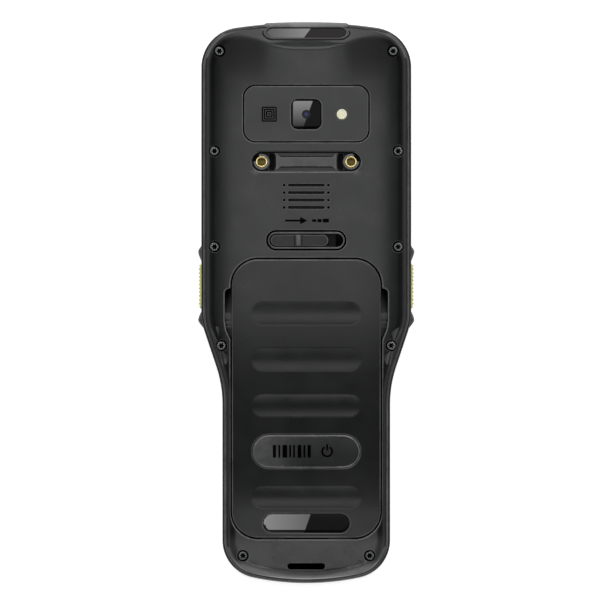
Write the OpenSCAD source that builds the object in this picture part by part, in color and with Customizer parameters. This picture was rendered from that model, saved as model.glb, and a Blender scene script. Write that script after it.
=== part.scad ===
// Portable barcode data terminal, lying on its front face.
// +Y points to the scanning end, +Z out of the back. Sizes in mm.

/* [Body] */
// Length from the scanning end to the charging end
body_len = 202; // [190:1:215]
// Width of the head, without the side keys
head_w = 75.6; // [72:0.2:80]
// Width of the grip
grip_w = 60.4; // [57:0.2:64]
// Thickness of the head
head_t = 29; // [27:0.5:32]
// Thickness of the grip
grip_t = 21.5; // [20.5:0.5:23]
// Height of the split between the front and the rear housing
split_z = 16; // [15:0.5:16.5]
// Where the straight sides of the head end
waist_y = -3.3; // [-6:0.1:0]
// Where the straight sides of the grip begin
grip_y = -36.6; // [-40:0.2:-34]
// Wall of both housings
wall = 2.2; // [1.8:0.1:2.6]
// How far the rear housing stands in from the rim
rim = 1.5; // [1.2:0.1:1.8]

/* [Battery cover] */
// Width of the cover
cover_w = 54; // [50:0.5:54]
// Upper edge of the cover
cover_top = 15.9; // [14:0.1:16.5]
// Lower edge of the cover
cover_bot = -84.8; // [-85.5:0.1:-82]
// Thickness of the cover
cover_t = 2; // [1.8:0.1:2.2]
// Gap round the cover
gap = 0.35; // [0.25:0.05:0.5]
// Spacing of the finger grooves
groove_pitch = 16.5; // [15:0.5:17]
// Travel of the latch
latch_travel = 5.2; // [3:0.1:5.3]

/* [Back fittings] */
// Width of the camera plate
plate_w = 45.2; // [42:0.2:47]
// Height of the camera plate
plate_h = 20.4; // [18:0.2:22]
// Spacing of the two threaded inserts
insert_pitch = 32.1; // [30:0.1:33]
// Radius of the thread in an insert
insert_r = 1.35; // [1.2:0.05:1.5]
// Head radius of the housing screws
screw_r = 1.7; // [1.5:0.1:1.8]
// Slope of the scanning end
scan_slope = 50; // [46:1:54]

/* [Front] */
// Width of the display glass
glass_w = 64; // [60:0.5:66]
// Length of the display glass
glass_h = 92; // [88:0.5:93]
// Spacing of the number keys across
key_pitch_x = 15; // [14:0.5:15.5]
// Spacing of the number keys along
key_pitch_y = 10; // [9.5:0.1:10.2]

/* [Hidden] */
$fn = 48;
e = 0.01;

// ---- outline of the body, seen from the back ----
hw = head_w/2;
gw = grip_w/2;
hl = body_len/2;
top_r = 174;
top_corner = 14.4;
bot_r = 92.2;
bot_corner = 13.8;
waist_a = 18.6;
waist_out = 22;
top_c = hl - 0.1 - top_r;
bot_c = -hl + bot_r;
top_cx = hw - top_corner;
bot_cx = gw - bot_corner;
top_cy = top_c + sqrt(pow(top_r - top_corner, 2) - top_cx*top_cx);
bot_cy = bot_c - sqrt(pow(bot_r - bot_corner, 2) - bot_cx*bot_cx);
top_a = atan2(top_cy - top_c, top_cx);
bot_a = atan2(bot_cy - bot_c, bot_cx);
waist_in = 43;

// Points on an arc as [x, y, outward normal x, y]; s = -1 turns the normal inward.
// An arc that follows another without a break starts at its second point, i0 = 1.
function arc(c, r, a0, a1, n, s = 1, i0 = 0) =
    [for (i = [i0:n]) let (a = a0 + (a1 - a0)*i/n)
        [c[0] + r*cos(a), c[1] + r*sin(a), s*cos(a), s*sin(a)]];
function side(x, y0, y1, n) = [for (i = [1:n]) [x, y0 + (y1 - y0)*i/n, 1, 0]];

// Right half of the outline from the scanning end to the charging end.
// k sets how finely the straight stretches are divided.
function half_edge(k) = concat(
    arc([0, top_c], top_r, 90, top_a, 4),
    arc([top_cx, top_cy], top_corner, top_a, 0, 6, 1, 1),
    k > 1 ? side(hw, top_cy, 12, 2) : [],
    k > 1 ? side(hw, 12, waist_y, 2) : [[hw, waist_y, 1, 0]],
    arc([hw - waist_out, waist_y], waist_out, -waist_a/2, -waist_a, 1),
    arc([gw + waist_in, grip_y], waist_in, 180 - waist_a, 180, 4, -1),
    k > 1 ? side(gw, grip_y, bot_cy, 7) : side(gw, grip_y, bot_cy, 1),
    arc([bot_cx, bot_cy], bot_corner, 0, bot_a, 5, 1, 1),
    arc([0, bot_c], bot_r, bot_a, -90, 4, 1, 1));
EDGE = half_edge(2);
EDGE1 = half_edge(1);

function inset(pts, d) = [for (p = pts) [max(0, p[0] - d*p[2]), p[1] - d*p[3]]];
// Whole outline, d mm inside the edge
function ring2(pts, d) = let (h = inset(pts, d), n = len(h))
    concat(h, [for (i = [n - 2:-1:1]) [-h[i][0], h[i][1]]]);
module outline(d) { polygon(ring2(EDGE1, d)); }

// ---- height of the back ----
s_top = 12;
s_bot = -76;
function spine(y) = let (t = min(1, max(0, (s_top - y)/(s_top - s_bot))))
    head_t - (head_t - grip_t)*t*t*t*(4 - 3*t);
function spine_slope(y) = let (t = min(1, max(0, (s_top - y)/(s_top - s_bot))))
    12*t*t*(1 - t)*(head_t - grip_t)/(s_top - s_bot);
flat_x = 15;
crown_r = 48;
function crown(x) = abs(x) <= flat_x ? 0
    : crown_r - sqrt(crown_r*crown_r - pow(abs(x) - flat_x, 2));
function back(x, y) = spine(y) - crown(x);

// Layer between two surfaces that follow the back, d0 and d1 mm below it
bx = [-40, -33, -27, -21, -flat_x, flat_x, 21, 27, 33, 40];
by = [110, 12, 0, -11, -21, -30, -38, -46, -54, -61, -68, -76, -110];
head_rows = [110, 12];
module back_layer(d0, d1, rows = by) {
    m = len(bx);
    n = len(rows);
    o = m*n;
    pts = [for (d = [d0, d1]) for (y = rows) for (x = bx) [x, y, back(x, y) - d]];
    edge = concat([for (i = [0:m - 1]) i], [for (j = [1:n - 1]) j*m + m - 1],
        [for (i = [m - 2:-1:0]) (n - 1)*m + i], [for (j = [n - 2:-1:1]) j*m]);
    k = len(edge);
    polyhedron(pts, concat(
        [for (j = [0:n - 2]) for (i = [0:m - 2]) let (a = j*m + i)
            each [[a, a + 1, a + m + 1, a + m], [o + a, o + a + m, o + a + m + 1, o + a + 1]]],
        [for (i = [0:k - 1]) let (a = edge[i], b = edge[(i + 1)%k]) [a, o + a, o + b, b]]));
}

// Closed body through rings of the outline, capped flat below and crowned above
module ring_body(rings, cols) {
    n = len(rings[0]);
    k = len(rings);
    h = n/2;
    last = rings[k - 1];
    caps = [for (i = [1:h - 1]) for (c = cols)
        let (r = last[i]) [c*r[0], r[1], back(c*r[0], r[1])]];
    m = len(cols);
    o = k*n;
    pts = concat([for (r = rings) for (p = r) p], caps);
    // Index of column c in cap row i: the ring's own points are the two ends
    polyhedron(pts, concat(
        [[for (i = [n - 1:-1:0]) i]],
        [for (j = [0:k - 2]) for (i = [0:n - 1]) let (a = j*n + i, b = j*n + (i + 1)%n)
            each [[a, b + n, a + n], [a, b, b + n]]],
        [for (i = [1:h - 2]) for (c = [0:m])
            let (a = cap_at(i, c, m, k, n, o), b = cap_at(i, c + 1, m, k, n, o),
                d = cap_at(i + 1, c, m, k, n, o), f = cap_at(i + 1, c + 1, m, k, n, o))
            each [[a, b, f], [a, f, d]]],
        [for (c = [0:m]) [(k - 1)*n, cap_at(1, c + 1, m, k, n, o), cap_at(1, c, m, k, n, o)]],
        [for (c = [0:m]) [(k - 1)*n + h, cap_at(h - 1, c, m, k, n, o),
            cap_at(h - 1, c + 1, m, k, n, o)]]));
}
function cap_at(i, c, m, k, n, o) = c == 0 ? (k - 1)*n + n - i
    : c == m + 1 ? (k - 1)*n + i : o + (i - 1)*m + m - c;

function ring3(d, dz) = [for (p = ring2(EDGE, d)) [p[0], p[1], back(p[0], p[1]) - dz]];
function ring_at(d, z) = [for (p = ring2(EDGE, d)) [p[0], p[1], z]];

// ---- slopes at both ends ----
function brow(x) = let (u = min(1, abs(x)/23.4))
    abs(x) < 23.4 ? 91.3 + 4.1*pow((1 - cos(180*u))/2, 1.8)
    : 95.4 - 0.0276*pow(abs(x) - 23.4, 2);
function chin(x) = -97.5 + 0.0084*x*x;
// Where the plane of the scan window meets the level of the head
plane_y = 93.1;
// Slope of the lead-in between the brow and that plane
lead = 29;
// Ruled cutter of the scanning end: lead-in, then the slope of the window
module scan_cut(shift = 0, n = 16) {
    xs = [for (i = [-n:n]) 40*i/n];
    zt = 40;
    zl = 14;
    t1 = tan(lead);
    t2 = tan(scan_slope);
    pts = [for (x = xs) let (h = head_t - crown(x), b = brow(x), w = max(plane_y, b),
            ym = (w*t2 - b*t1)/(t2 - t1), t0 = b < plane_y ? t1 : t2)
        each [[x, b - shift - (zt - h)/t0, zt], [x, ym - shift, h - (ym - b)*t1],
            [x, w - shift + (h - zl)/t2, zl], [x, 115, zl], [x, 115, zt]]];
    m = len(xs);
    polyhedron(pts, concat(
        [for (i = [0:m - 2]) for (j = [0:4]) let (a = 5*i, k = (j + 1)%5)
            each [[a + j, a + 5 + k, a + k], [a + j, a + 5 + j, a + 5 + k]]],
        [[0, 1, 2, 3, 4], [for (j = [4:-1:0]) 5*(m - 1) + j]]));
}
// Ruled cutter of the charging end
module chin_cut(n = 8) {
    xs = [for (i = [-n:n]) 40*i/n];
    c = cos(48)/sin(48);
    pts = [for (x = xs) let (h = spine(-90) - crown(x)) each [
        [x, chin(x) + c*(40 - h), 40], [x, chin(x) - c*(h - 14), 14],
        [x, -115, 14], [x, -115, 40]]];
    m = len(xs);
    polyhedron(pts, concat(
        [for (i = [0:m - 2]) for (j = [0:3]) let (a = 4*i, k = (j + 1)%4)
            [a + j, a + k, a + 4 + k, a + 4 + j]],
        [[3, 2, 1, 0], [for (j = [0:3]) 4*(m - 1) + j]]));
}

module rrect(w, h, r) {
    union() {
        square([w - 2*r, h], center = true);
        square([w, h - 2*r], center = true);
        for (i = [-1, 1]) for (j = [-1, 1])
            translate([i*(w/2 - r), j*(h/2 - r)]) circle(r);
    }
}
module stadium(w, h) {
    union() {
        square([w - h, h], center = true);
        for (i = [-1, 1]) translate([i*(w - h)/2, 0]) circle(h/2);
    }
}
module slab(z0, z1) { translate([0, 0, z0]) linear_extrude(z1 - z0) children(); }
// Places a child on the back at y, turned to its slope
module on_back(y) {
    translate([0, y, spine(y)]) rotate([atan(spine_slope(y)), 0, 0]) children();
}

// ---- housing screws ----
SCREWS = [for (s = [-1, 1]) each [
    [s*31.2, 90.4], [s*33, 54.5], [s*33, 20.1], [s*30.5, -15.4], [s*22.8, -91]]];
screw_len = 12;
function seat_z(p) = back(p[0], p[1]) - 2.4;
module at_screws() { for (p = SCREWS) translate([p[0], p[1], 0]) children(); }

module housing_screws() {
    color("silver")
    for (p = SCREWS) translate([p[0], p[1], seat_z(p)]) difference() {
        union() {
            cylinder(r = screw_r, h = 1.3);
            translate([0, 0, -screw_len]) cylinder(r = 0.95, h = screw_len + 0.5);
        }
        translate([0, 0, 0.6]) cylinder(r = 0.95, h = 1, $fn = 6);
    }
}

// ---- front housing ----
front_t = 3.3;
glass_y = 46;
fascia_w = 52;
fascia_h = 83;
fascia_y = -46.5;
key_z = 5.5;
key_h = 7;
key_y = 5.9;
key_len = 16;
usb_z = 9;

function front_ring(d, z) = [for (p = ring2(EDGE1, d)) [p[0], p[1], z]];
module front_block() {
    prof = [[3.2, 0], [1.3, 0.7], [0.35, 2.2], [0, 4.4], [0, 15.5], [0.5, split_z]];
    n = len(ring2(EDGE1, 0));
    pts = [for (q = prof) each front_ring(q[0], q[1])];
    k = len(prof);
    polyhedron(pts, concat(
        [[for (i = [n - 1:-1:0]) i], [for (i = [0:n - 1]) (k - 1)*n + i]],
        [for (j = [0:k - 2]) for (i = [0:n - 1])
            [j*n + i, j*n + (i + 1)%n, j*n + n + (i + 1)%n, j*n + n + i]]));
}
// One guard beside a side key, in plan: a fin that rises away from the key
module guard_plan(y0, y1, peak) {
    polygon([[hw - 2, y0], [hw - 0.6, y0], [hw + 0.9, peak - 1.4*sign(peak - y0)],
        [hw + 1.17, peak], [hw + 0.9, peak + 0.8*sign(y1 - peak)], [hw - 1.2, y1], [hw - 2, y1]]);
}
module guards() {
    for (s = [0, 1]) mirror([s, 0, 0]) intersection() {
        union() {
            slab(key_z - 2, key_z + key_h + 2) guard_plan(13.9, 22, 18.6);
            slab(key_z - 2, key_z + key_h + 2) guard_plan(-2.1, -9.6, -6.4);
        }
        translate([hw - 4.2, 0, key_z + key_h/2]) rotate([90, 0, 0])
            cylinder(r = 6.4, h = 80, center = true);
    }
}
module bosses() {
    at_screws() translate([0, 0, 2.6]) cylinder(r = 2.7, h = split_z - 2.6);
    // Posts that carry the main board
    for (s = [-1, 1]) for (y = [86, 46, 6]) translate([s*30.9, y, 2.6])
        cylinder(r = 1.3, h = 6.8 - 2.6);
    for (s = [-1, 1]) translate([s*12, -90.5, 2.6]) cylinder(r = 1.5, h = 6.8 - 2.6);
}
module front_housing() {
    color([0.16, 0.16, 0.17])
    difference() {
        union() {
            difference() {
                front_block();
                slab(front_t, split_z + 1) outline(2.4);
            }
            bosses();
            guards();
        }
        // Pocket and opening of the display
        translate([0, glass_y, 0]) slab(-1, 2.1) rrect(glass_w + 0.3, glass_h + 0.3, 4);
        translate([0, glass_y, 0]) slab(-1, 5) rrect(59, 87, 2);
        // Pocket and opening of the keypad
        translate([0, fascia_y, 0]) slab(-1, 2.6) rrect(fascia_w + 0.3, fascia_h + 0.3, 9);
        translate([0, fascia_y, 0]) slab(-1, 5) rrect(48, 81, 5);
        // Ear piece slot and microphone
        translate([0, 95.4, 0]) slab(-1, 5) stadium(12, 1.2);
        translate([0, -94, -1]) cylinder(r = 0.6, h = 6);
        // Bores of the screws
        for (p = SCREWS) translate([p[0], p[1], 5]) cylinder(r = 1, h = 20);
        // Windows of the side keys
        for (s = [-1, 1]) translate([s*hw, key_y, key_z + key_h/2])
            cube([8, key_len + 0.5, key_h + 0.4], center = true);
        // Socket and flap recess at the charging end
        translate([0, -hl, usb_z]) rotate([90, 0, 0]) {
            translate([0, 0, -8]) linear_extrude(12) stadium(9.6, 3.8);
            translate([0, 0, -1.9]) linear_extrude(4) rrect(17.4, 8, 2.2);
        }
    }
}

// ---- rear housing ----
strap_y = 50.6;
strap_w = 39.9;
strap_h = 7.65;
latch_y = 22.4;
plate_y = 67.9;
window_y = 67.7;
flash_x = 12.75;
spk_y = 38.2;
slot_y = -94.8;

bay_w = 49.4;
bay_top = 12.6;
bay_bot = -82.2;
bay_z = 10;
tub_wall = 1.4;

// Places a child on the plane of the scan window, X right, Y down the slope
module on_slope(y) {
    h = (y - plane_y)*tan(scan_slope);
    translate([0, y, head_t - h]) rotate([-scan_slope, 0, 0]) children();
}
scan_mid = 96.9;

module rear_shell() {
    difference() {
        ring_body([
            ring_at(rim, split_z), ring3(rim + 0.25, 2.7), ring3(rim + 0.8, 1.1),
            ring3(rim + 1.9, 0.3), ring3(rim + 3.6, 0), ring3(8.5, 0), ring3(13, 0)],
            [0.85, 0.66, -0.66, -0.85]);
        scan_cut();
        chin_cut();
    }
}
module head_cavity() {
    difference() {
        intersection() {
            slab(split_z - 1, 40) difference() {
                outline(rim + 2.2);
                translate([-50, -150]) square([100, 167]);
            }
            back_layer(wall, 16, head_rows);
        }
        scan_cut(4, 4);
        at_screws() cylinder(r = 2.7, h = 40);
        // Body of the strap recess
        translate([0, strap_y, 0]) slab(20.6, 40) stadium(strap_w + 4, strap_h + 3.4);
    }
}
module tub() {
    translate([0, (bay_top + bay_bot)/2, 0]) slab(bay_z - tub_wall, 22)
        rrect(bay_w + 2*tub_wall, bay_top - bay_bot + 2*tub_wall, 5);
}
module scoop(y) {
    on_back(y) translate([0, 0, 7.75]) rotate([0, 90, 0]) rotate_extrude()
        intersection() {
            rotate([0, 0, 90]) stadium(31.4 + 17.4, 17.4);
            translate([0, -30]) square([30, 60]);
        }
}
// Shallow pocket with a raised bar. The strap goes down one well and up the other,
// through the tunnel under the bar
module strap_bar() {
    difference() {
        square([22.5, strap_h + 1], center = true);
        for (s = [-1, 1]) translate([0, s*(1.7 + 3)]) union() {
            square([19, 6], center = true);
            for (t = [-1, 1]) translate([t*9.5, -s*2]) circle(1);
        }
    }
}
module strap_recess() {
    translate([0, strap_y, 0]) {
        difference() {
            slab(head_t - 2.3, head_t + 2) stadium(strap_w, strap_h);
            slab(head_t - 3, head_t - 0.45) strap_bar();
            // Bosses of the inserts
            for (s = [-1, 1]) translate([s*insert_pitch/2, 0, head_t - 3])
                cylinder(r = 2.95, h = 2.1);
        }
        for (s = [-1, 1]) translate([s*12.35, 0, 0]) slab(head_t - 6.4, head_t - 2) difference() {
            rrect(2.1, 6.5, 0.8);
            translate([s*(insert_pitch/2 - 12.35), 0]) circle(2.95);
        }
        slab(head_t - 6.4, head_t - 3.4) square([24, 4.4], center = true);
    }
    for (s = [-1, 1]) translate([s*insert_pitch/2, strap_y, head_t - 7.2])
        cylinder(r = 2.1, h = 8);
}
// Notch beside the cover, deepest at its upper end
module finger_notch() {
    x = cover_w/2 + 2.4;
    intersection() {
        slab(20, 40) polygon(concat([[25.6, 5.2]],
            [for (i = [0:5]) let (a = 90 - 18*i) [x - 2.4 + 2.4*cos(a), 2.8 + 2.4*sin(a)]],
            [[x, -6.5], [x - 0.35, -9], [x - 2.2, -13.3], [25.6, -13.3]]));
        translate([0, 5.2, 22.9]) rotate([-10.7, 0, 0]) translate([20, -25, 0]) cube([20, 30, 14]);
    }
}
module rear_housing() {
    color([0.2, 0.2, 0.21])
    difference() {
        union() {
            difference() {
                rear_shell();
                head_cavity();
            }
            intersection() {
                tub();
                back_layer(cover_t, 24);
            }
        }
        // Battery bay and the seat of its cover
        translate([0, (bay_top + bay_bot)/2, 0]) slab(bay_z, 40)
            rrect(bay_w, bay_top - bay_bot, 3.6);
        intersection() {
            translate([0, cover_my, 0]) slab(12, 40)
                rrect(cover_w + 2*gap, cover_top - cover_bot + 2*gap, 10);
            back_layer(-6, cover_t + 0.05);
        }
        // Pockets of the cover's hooks
        for (s = [-1, 1]) translate([s*12, -84.7, 18.4]) cube([9, 5.8, 3.4], center = true);
        // Finger notches
        for (s = [0, 1]) mirror([s, 0, 0]) finger_notch();
        // Camera recess
        intersection() {
            translate([0, plate_y, 0]) slab(20, 40) rrect(plate_w + 0.3, plate_h + 0.3, 4.5);
            back_layer(-6, 1.25, head_rows);
        }
        translate([0, window_y, 20]) cylinder(r = 4, h = 20);
        translate([flash_x, window_y, 20]) cylinder(r = 1.5, h = 20);
        strap_recess();
        // Speaker slots and pilot dots
        for (i = [0:3]) translate([0, 42.2 - i*2.667, 0]) {
            slab(20, 40) stadium(13.2, 1.05);
            for (s = [-1, 1]) translate([s*7.95, 0, head_t - 1.2]) cylinder(r = 0.5, h = 3, $fn = 16);
        }
        // Latch recess, its slot and the tongue's way
        translate([0, latch_y, 0]) slab(head_t - 0.35, 40) stadium(28.6, 7.1);
        translate([0, latch_y, 0]) slab(18, 40) stadium(26.8, 4.6);
        // Housing screws
        for (p = SCREWS) translate([p[0], p[1], seat_z(p)]) {
            cylinder(r = 2.1, h = 20);
            translate([0, 0, -20]) cylinder(r = 1.05, h = 21);
        }
        // Scan window and the seat of its frame
        on_slope(scan_mid) {
            slab(-1.2, 6) stadium(31.6, 8);
            slab(-12, 6) stadium(27, 4.6);
        }
        hood(e);
        // Strap slot that comes out of the charging end
        translate([0, slot_y, 0]) slab(17, 40) stadium(13.5, 2.25);
        translate([0, slot_y - 5 + 1.125, 17.8]) cube([13.5, 10, 1.6], center = true);
    }
}

// ---- battery cover ----
cover_my = (cover_top + cover_bot)/2;
button_y = -53.4;
plate_pill_y = -79.3;
module cover_blank() {
    intersection() {
        translate([0, cover_my, 0]) slab(12, 40) rrect(cover_w, cover_top - cover_bot, 9.7);
        back_layer(0, cover_t);
    }
}
module battery_cover() {
    color([0.13, 0.13, 0.14])
    union() {
        difference() {
            cover_blank();
            for (i = [0, 1, 2, 4]) scoop(-3.9 - i*groove_pitch);
            on_back(button_y) slab(-6, 4) stadium(38.9, 12.3);
        }
        // Hooks under the lower lip of the seat
        for (s = [-1, 1]) translate([s*12, cover_bot, grip_t - cover_t + 0.3])
            cube([8, 3.6, 0.6], center = true);
        // Ribs inside
        intersection() {
            slab(12, 40) for (s = [-1, 1]) translate([s*21.6, -24])
                square([1, 44], center = true);
            back_layer(cover_t - 0.2, cover_t + 0.8);
        }
        // Posts that carry the button's switch board
        on_back(button_y) for (s = [-1, 1]) translate([s*21, 0, -cover_t - 1.5])
            linear_extrude(1.7) square([1.6, 8], center = true);
    }
}
module rear_button() {
    color([0.22, 0.22, 0.23])
    on_back(button_y) union() {
        slab(-cover_t - 0.6, 0.25) stadium(38.5, 11.9);
        slab(-cover_t - 0.6, -cover_t - 0.1) intersection() {
            stadium(40.2, 13.6);
            square([29.6, 20], center = true);
        }
    }
}
module rear_switch() {
    color([0.1, 0.35, 0.2])
    on_back(button_y) union() {
        slab(-cover_t - 2.1, -cover_t - 1.5) rrect(43.6, 8, 1);
        for (x = [-12, 12]) translate([x, 0, -cover_t - 1.5 - e]) cylinder(r = 2.2, h = 0.45);
    }
}

// ---- latch ----
module cover_latch() {
    color([0.17, 0.17, 0.18])
    translate([-latch_travel/2 + 0.15, latch_y, 0]) union() {
        slab(head_t - wall - 0.3, head_t - 0.5) stadium(20.9, 4.3);
        translate([-0.4, 0, 0]) slab(head_t - 1.6, head_t + 0.15)
            intersection() {
                square([3.3, 4.3], center = true);
                stadium(20.9, 4.3);
            }
        // Flange under the housing, and the tongue towards the cover
        slab(head_t - wall - 1.3, head_t - wall - 0.15) rrect(26, 6.4, 1);
        translate([0, -3.9, 0]) slab(head_t - wall - 1.3, head_t - wall - 0.15)
            square([7, 2.6], center = true);
    }
}

// ---- camera group ----
module camera_plate() {
    color([0.1, 0.1, 0.11])
    difference() {
        intersection() {
            translate([0, plate_y, 0]) slab(20, 40) rrect(plate_w, plate_h, 4.4);
            back_layer(-0.05, 1.2, head_rows);
        }
        translate([0, window_y, 20]) cylinder(r = 4, h = 20);
        translate([0, window_y, head_t - 1]) linear_extrude(3) rrect(10.9, 10.9, 2.5);
        translate([flash_x, window_y, 20]) cylinder(r = 1.9, h = 20);
    }
}
module camera_window() {
    color([0.15, 0.2, 0.3])
    translate([0, window_y, 0]) slab(head_t - 1, head_t - 0.15) rrect(10.6, 10.6, 2.4);
}
module camera_module() {
    color("dimgray")
    translate([0, window_y, 0]) union() {
        slab(20.5, head_t - wall) square(9.4, center = true);
        translate([0, 0, 26]) cylinder(r = 3.3, h = head_t - 1 - 26 - 0.1);
    }
}
module flash_lens() {
    color("khaki")
    translate([flash_x, window_y, 0]) union() {
        slab(head_t - 1.25, head_t) circle(1.85);
        slab(head_t - 3.2, head_t - 1.25 + e) circle(1.45);
    }
}

// ---- scanning end ----
// Hood over the window, which stands a little past the housing's end; d mm larger for its seat
hood_y = 98.95;
module hood(d) {
    r = 290;
    intersection() {
        slab(split_z - d, 24) polygon(concat([[-15.2 - d, hood_y - d], [-15.2 - d, hl - 0.4]],
            [for (a = [-3:3]) [r*sin(a), hl - r + r*cos(a)]],
            [[15.2 + d, hl - 0.4], [15.2 + d, hood_y - d]]));
        translate([0, hood_y, 22.5 + d]) rotate([-lead, 0, 0]) slab(-12, 0) square([40, 20], center = true);
    }
}
module scan_frame() {
    color([0.08, 0.08, 0.09])
    difference() {
        union() {
            on_slope(scan_mid) slab(-1.2, 0.3) stadium(31.2, 7.6);
            hood(0);
        }
        on_slope(scan_mid) {
            slab(-0.5, 0.31) stadium(28.6, 5.9);
            slab(-3, 0) stadium(26.4, 4.2);
        }
    }
}
module scan_window() {
    color([0.1, 0.03, 0.04])
    on_slope(scan_mid) slab(-0.5, 0.05) stadium(28.3, 5.6);
}
module scan_engine() {
    color("dimgray")
    union() {
        slab(11, 21.5) translate([0, 80]) rrect(22, 13, 1);
        for (x = [-5.5, 5.5]) translate([x, 86, 16.6]) rotate([-90, 0, 0])
            cylinder(r = 3.2, h = 3.5);
        // Bracket down to the main board
        for (s = [-1, 1]) slab(7.8, 11 + e) translate([s*9, 80]) square([2, 11], center = true);
    }
}

// ---- strap inserts ----
module strap_inserts() {
    color("goldenrod")
    for (s = [-1, 1]) translate([s*insert_pitch/2, strap_y, head_t - 7.2]) difference() {
        union() {
            cylinder(r = 2.1, h = 6);
            translate([0, 0, 5.4]) cylinder(r = 2.1, h = 0.7);
        }
        translate([0, 0, -1]) cylinder(r = insert_r, h = 9);
    }
}

// ---- side keys ----
module side_key(s) {
    color([0.95, 0.85, 0.25])
    mirror([s < 0 ? 1 : 0, 0, 0]) translate([0, key_y, key_z + key_h/2]) union() {
        translate([hw - 1.2, 0, 0]) cube([3.6, key_len, key_h], center = true);
        for (i = [0:10]) translate([hw + 0.53, (i - 5)*1.38, 0])
            cylinder(r = 0.42, h = key_h - 1, center = true, $fn = 24);
        // Flange that keeps the key in
        translate([hw - 3, 0, 0]) cube([1, key_len + 2.4, key_h + 1.8], center = true);
    }
}
module side_key_left() { side_key(-1); }
module side_key_right() { side_key(1); }
module side_switches() {
    color("gray")
    for (s = [0, 1]) mirror([s, 0, 0]) translate([29.5, key_y, 0]) union() {
        translate([0, -4, 7.8]) cube([3.1, 8, 3]);
        translate([3, 0, 9.3]) rotate([0, 90, 0]) cylinder(r = 0.8, h = 1.1);
    }
}

// ---- inside the head ----
module speaker_mesh() {
    color("black")
    slab(head_t - wall - 0.4, head_t - wall) translate([0, spk_y]) rrect(20, 12, 2);
}
module speaker() {
    color("dimgray")
    translate([0, spk_y, 0]) union() {
        slab(20.5, head_t - wall - 0.4) rrect(20, 12, 2);
        slab(19.4, 20.5 + e) circle(4.5);
    }
}
module display_glass() {
    color([0.05, 0.05, 0.06])
    translate([0, glass_y, 0]) slab(0.7, 2.1) rrect(glass_w, glass_h, 3.9);
}
module display_module() {
    color([0.3, 0.32, 0.34])
    translate([0, glass_y, 0]) slab(2.1, 5.2) rrect(57.6, 85.6, 1);
}
module main_board() {
    color([0.1, 0.35, 0.2])
    difference() {
        union() {
            slab(6.8, 7.8) outline(5);
            // Shielded circuits
            for (q = [[-14, 66, 20, 16], [13, 62, 18, 22], [-12, 36, 22, 22], [16, 32, 14, 14]])
                translate([q[0], q[1], 7.8 - e]) linear_extrude(2)
                    square([q[2], q[3]], center = true);
        }
        at_screws() cylinder(r = 3.3, h = 20);
        translate([0, -101, 0]) slab(0, 20) square([60, 10], center = true);
        // Notch round the socket
        translate([0, -95, 0]) slab(0, 20) square([9.5, 9], center = true);
    }
}

// ---- battery bay ----
batt_w = 47.6;
batt_top = -6;
batt_bot = -79;
module battery_pack() {
    color([0.12, 0.14, 0.2])
    difference() {
        translate([0, (batt_top + batt_bot)/2, 0]) slab(bay_z, 17.9)
            rrect(batt_w, batt_top - batt_bot, 2.5);
        for (i = [-1.5:1.5]) translate([i*4, batt_top, 14]) cube([2, 1.2, 5], center = true);
    }
}
module battery_contacts() {
    color("goldenrod")
    union() {
        translate([0, batt_top + 2.4, 0]) slab(bay_z, 16.5) square([20, 4], center = true);
        for (i = [-1.5:1.5]) translate([i*4, batt_top + 0.3, 14]) cube([1.2, 1, 3], center = true);
    }
}
module card_socket() {
    color("silver")
    translate([0, 5.4, 0]) slab(bay_z, 12) rrect(32, 12, 0.8);
}

// ---- charging end ----
module usb_socket() {
    color("silver")
    translate([0, -95, usb_z]) rotate([90, 0, 0]) union() {
        difference() {
            translate([0, 0, -4]) linear_extrude(8) stadium(8.9, 3.2);
            translate([0, 0, -3]) linear_extrude(9) stadium(8.2, 2.5);
        }
        // Tabs that stand on the main board
        for (s = [-1, 1]) translate([s*5.2, -0.95, -1]) cube([2.4, 0.5, 4], center = true);
    }
}
module usb_flap() {
    color([0.07, 0.07, 0.08])
    translate([0, -hl, usb_z]) rotate([90, 0, 0]) union() {
        translate([0, 0, -1.8]) linear_extrude(1.4) rrect(16.8, 7.4, 2);
        translate([0, 0, -2.6]) linear_extrude(1) stadium(7.4, 1.8);
    }
}

// ---- front keys ----
module keypad_fascia() {
    color([0.14, 0.14, 0.15])
    difference() {
        translate([0, fascia_y, 0]) slab(1.4, 2.6) rrect(fascia_w, fascia_h, 8.8);
        for (k = KEYS) translate([k[0], k[1], 0]) slab(0, 4)
            rrect(k[2] + 0.5, k[3] + 0.5, min(k[2], k[3])/2*k[4] + 0.25);
    }
}
// x, y, width, length, roundness of each key, in the order that the front shows them
KEYS = [
    [0, -11.5, 17, 9, 0.99], [16.5, -11.5, 12, 7, 0.6], [-16.5, -11.5, 12, 7, 0.6],
    [0, -27.5, 19, 19, 0.99],
    for (j = [0:3]) for (i = [1:-1:-1]) [i*key_pitch_x, -43.6 - j*key_pitch_y, 12.4, 7.4, 0.7],
    for (y = [-22.5, -32.2]) for (s = [1, -1]) [s*16.7, y, 10.6, 6.6, 0.6]
];
module key_cap(k) {
    translate([k[0], k[1], 0]) union() {
        slab(0.9, 3.4) rrect(k[2], k[3], min(k[2], k[3])/2*k[4]);
        slab(0.4, 0.9 + e) rrect(k[2] - 0.9, k[3] - 0.9, (min(k[2], k[3]) - 0.9)/2*k[4]);
        slab(2.6, 3.4) rrect(k[2] + 1.2, k[3] + 1.2, min(k[2], k[3])/2*k[4] + 0.6);
    }
}
module key_scan() { color([0.95, 0.85, 0.25]) key_cap(KEYS[0]); }
module key_soft_left() { color("gray") key_cap(KEYS[1]); }
module key_soft_right() { color("gray") key_cap(KEYS[2]); }
module key_ring() {
    color("gray")
    difference() {
        key_cap(KEYS[3]);
        translate([0, KEYS[3][1], -1]) cylinder(r = 4.9, h = 6);
        translate([0, KEYS[3][1], 2.4]) cylinder(r = 5.9, h = 2);
    }
}
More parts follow.
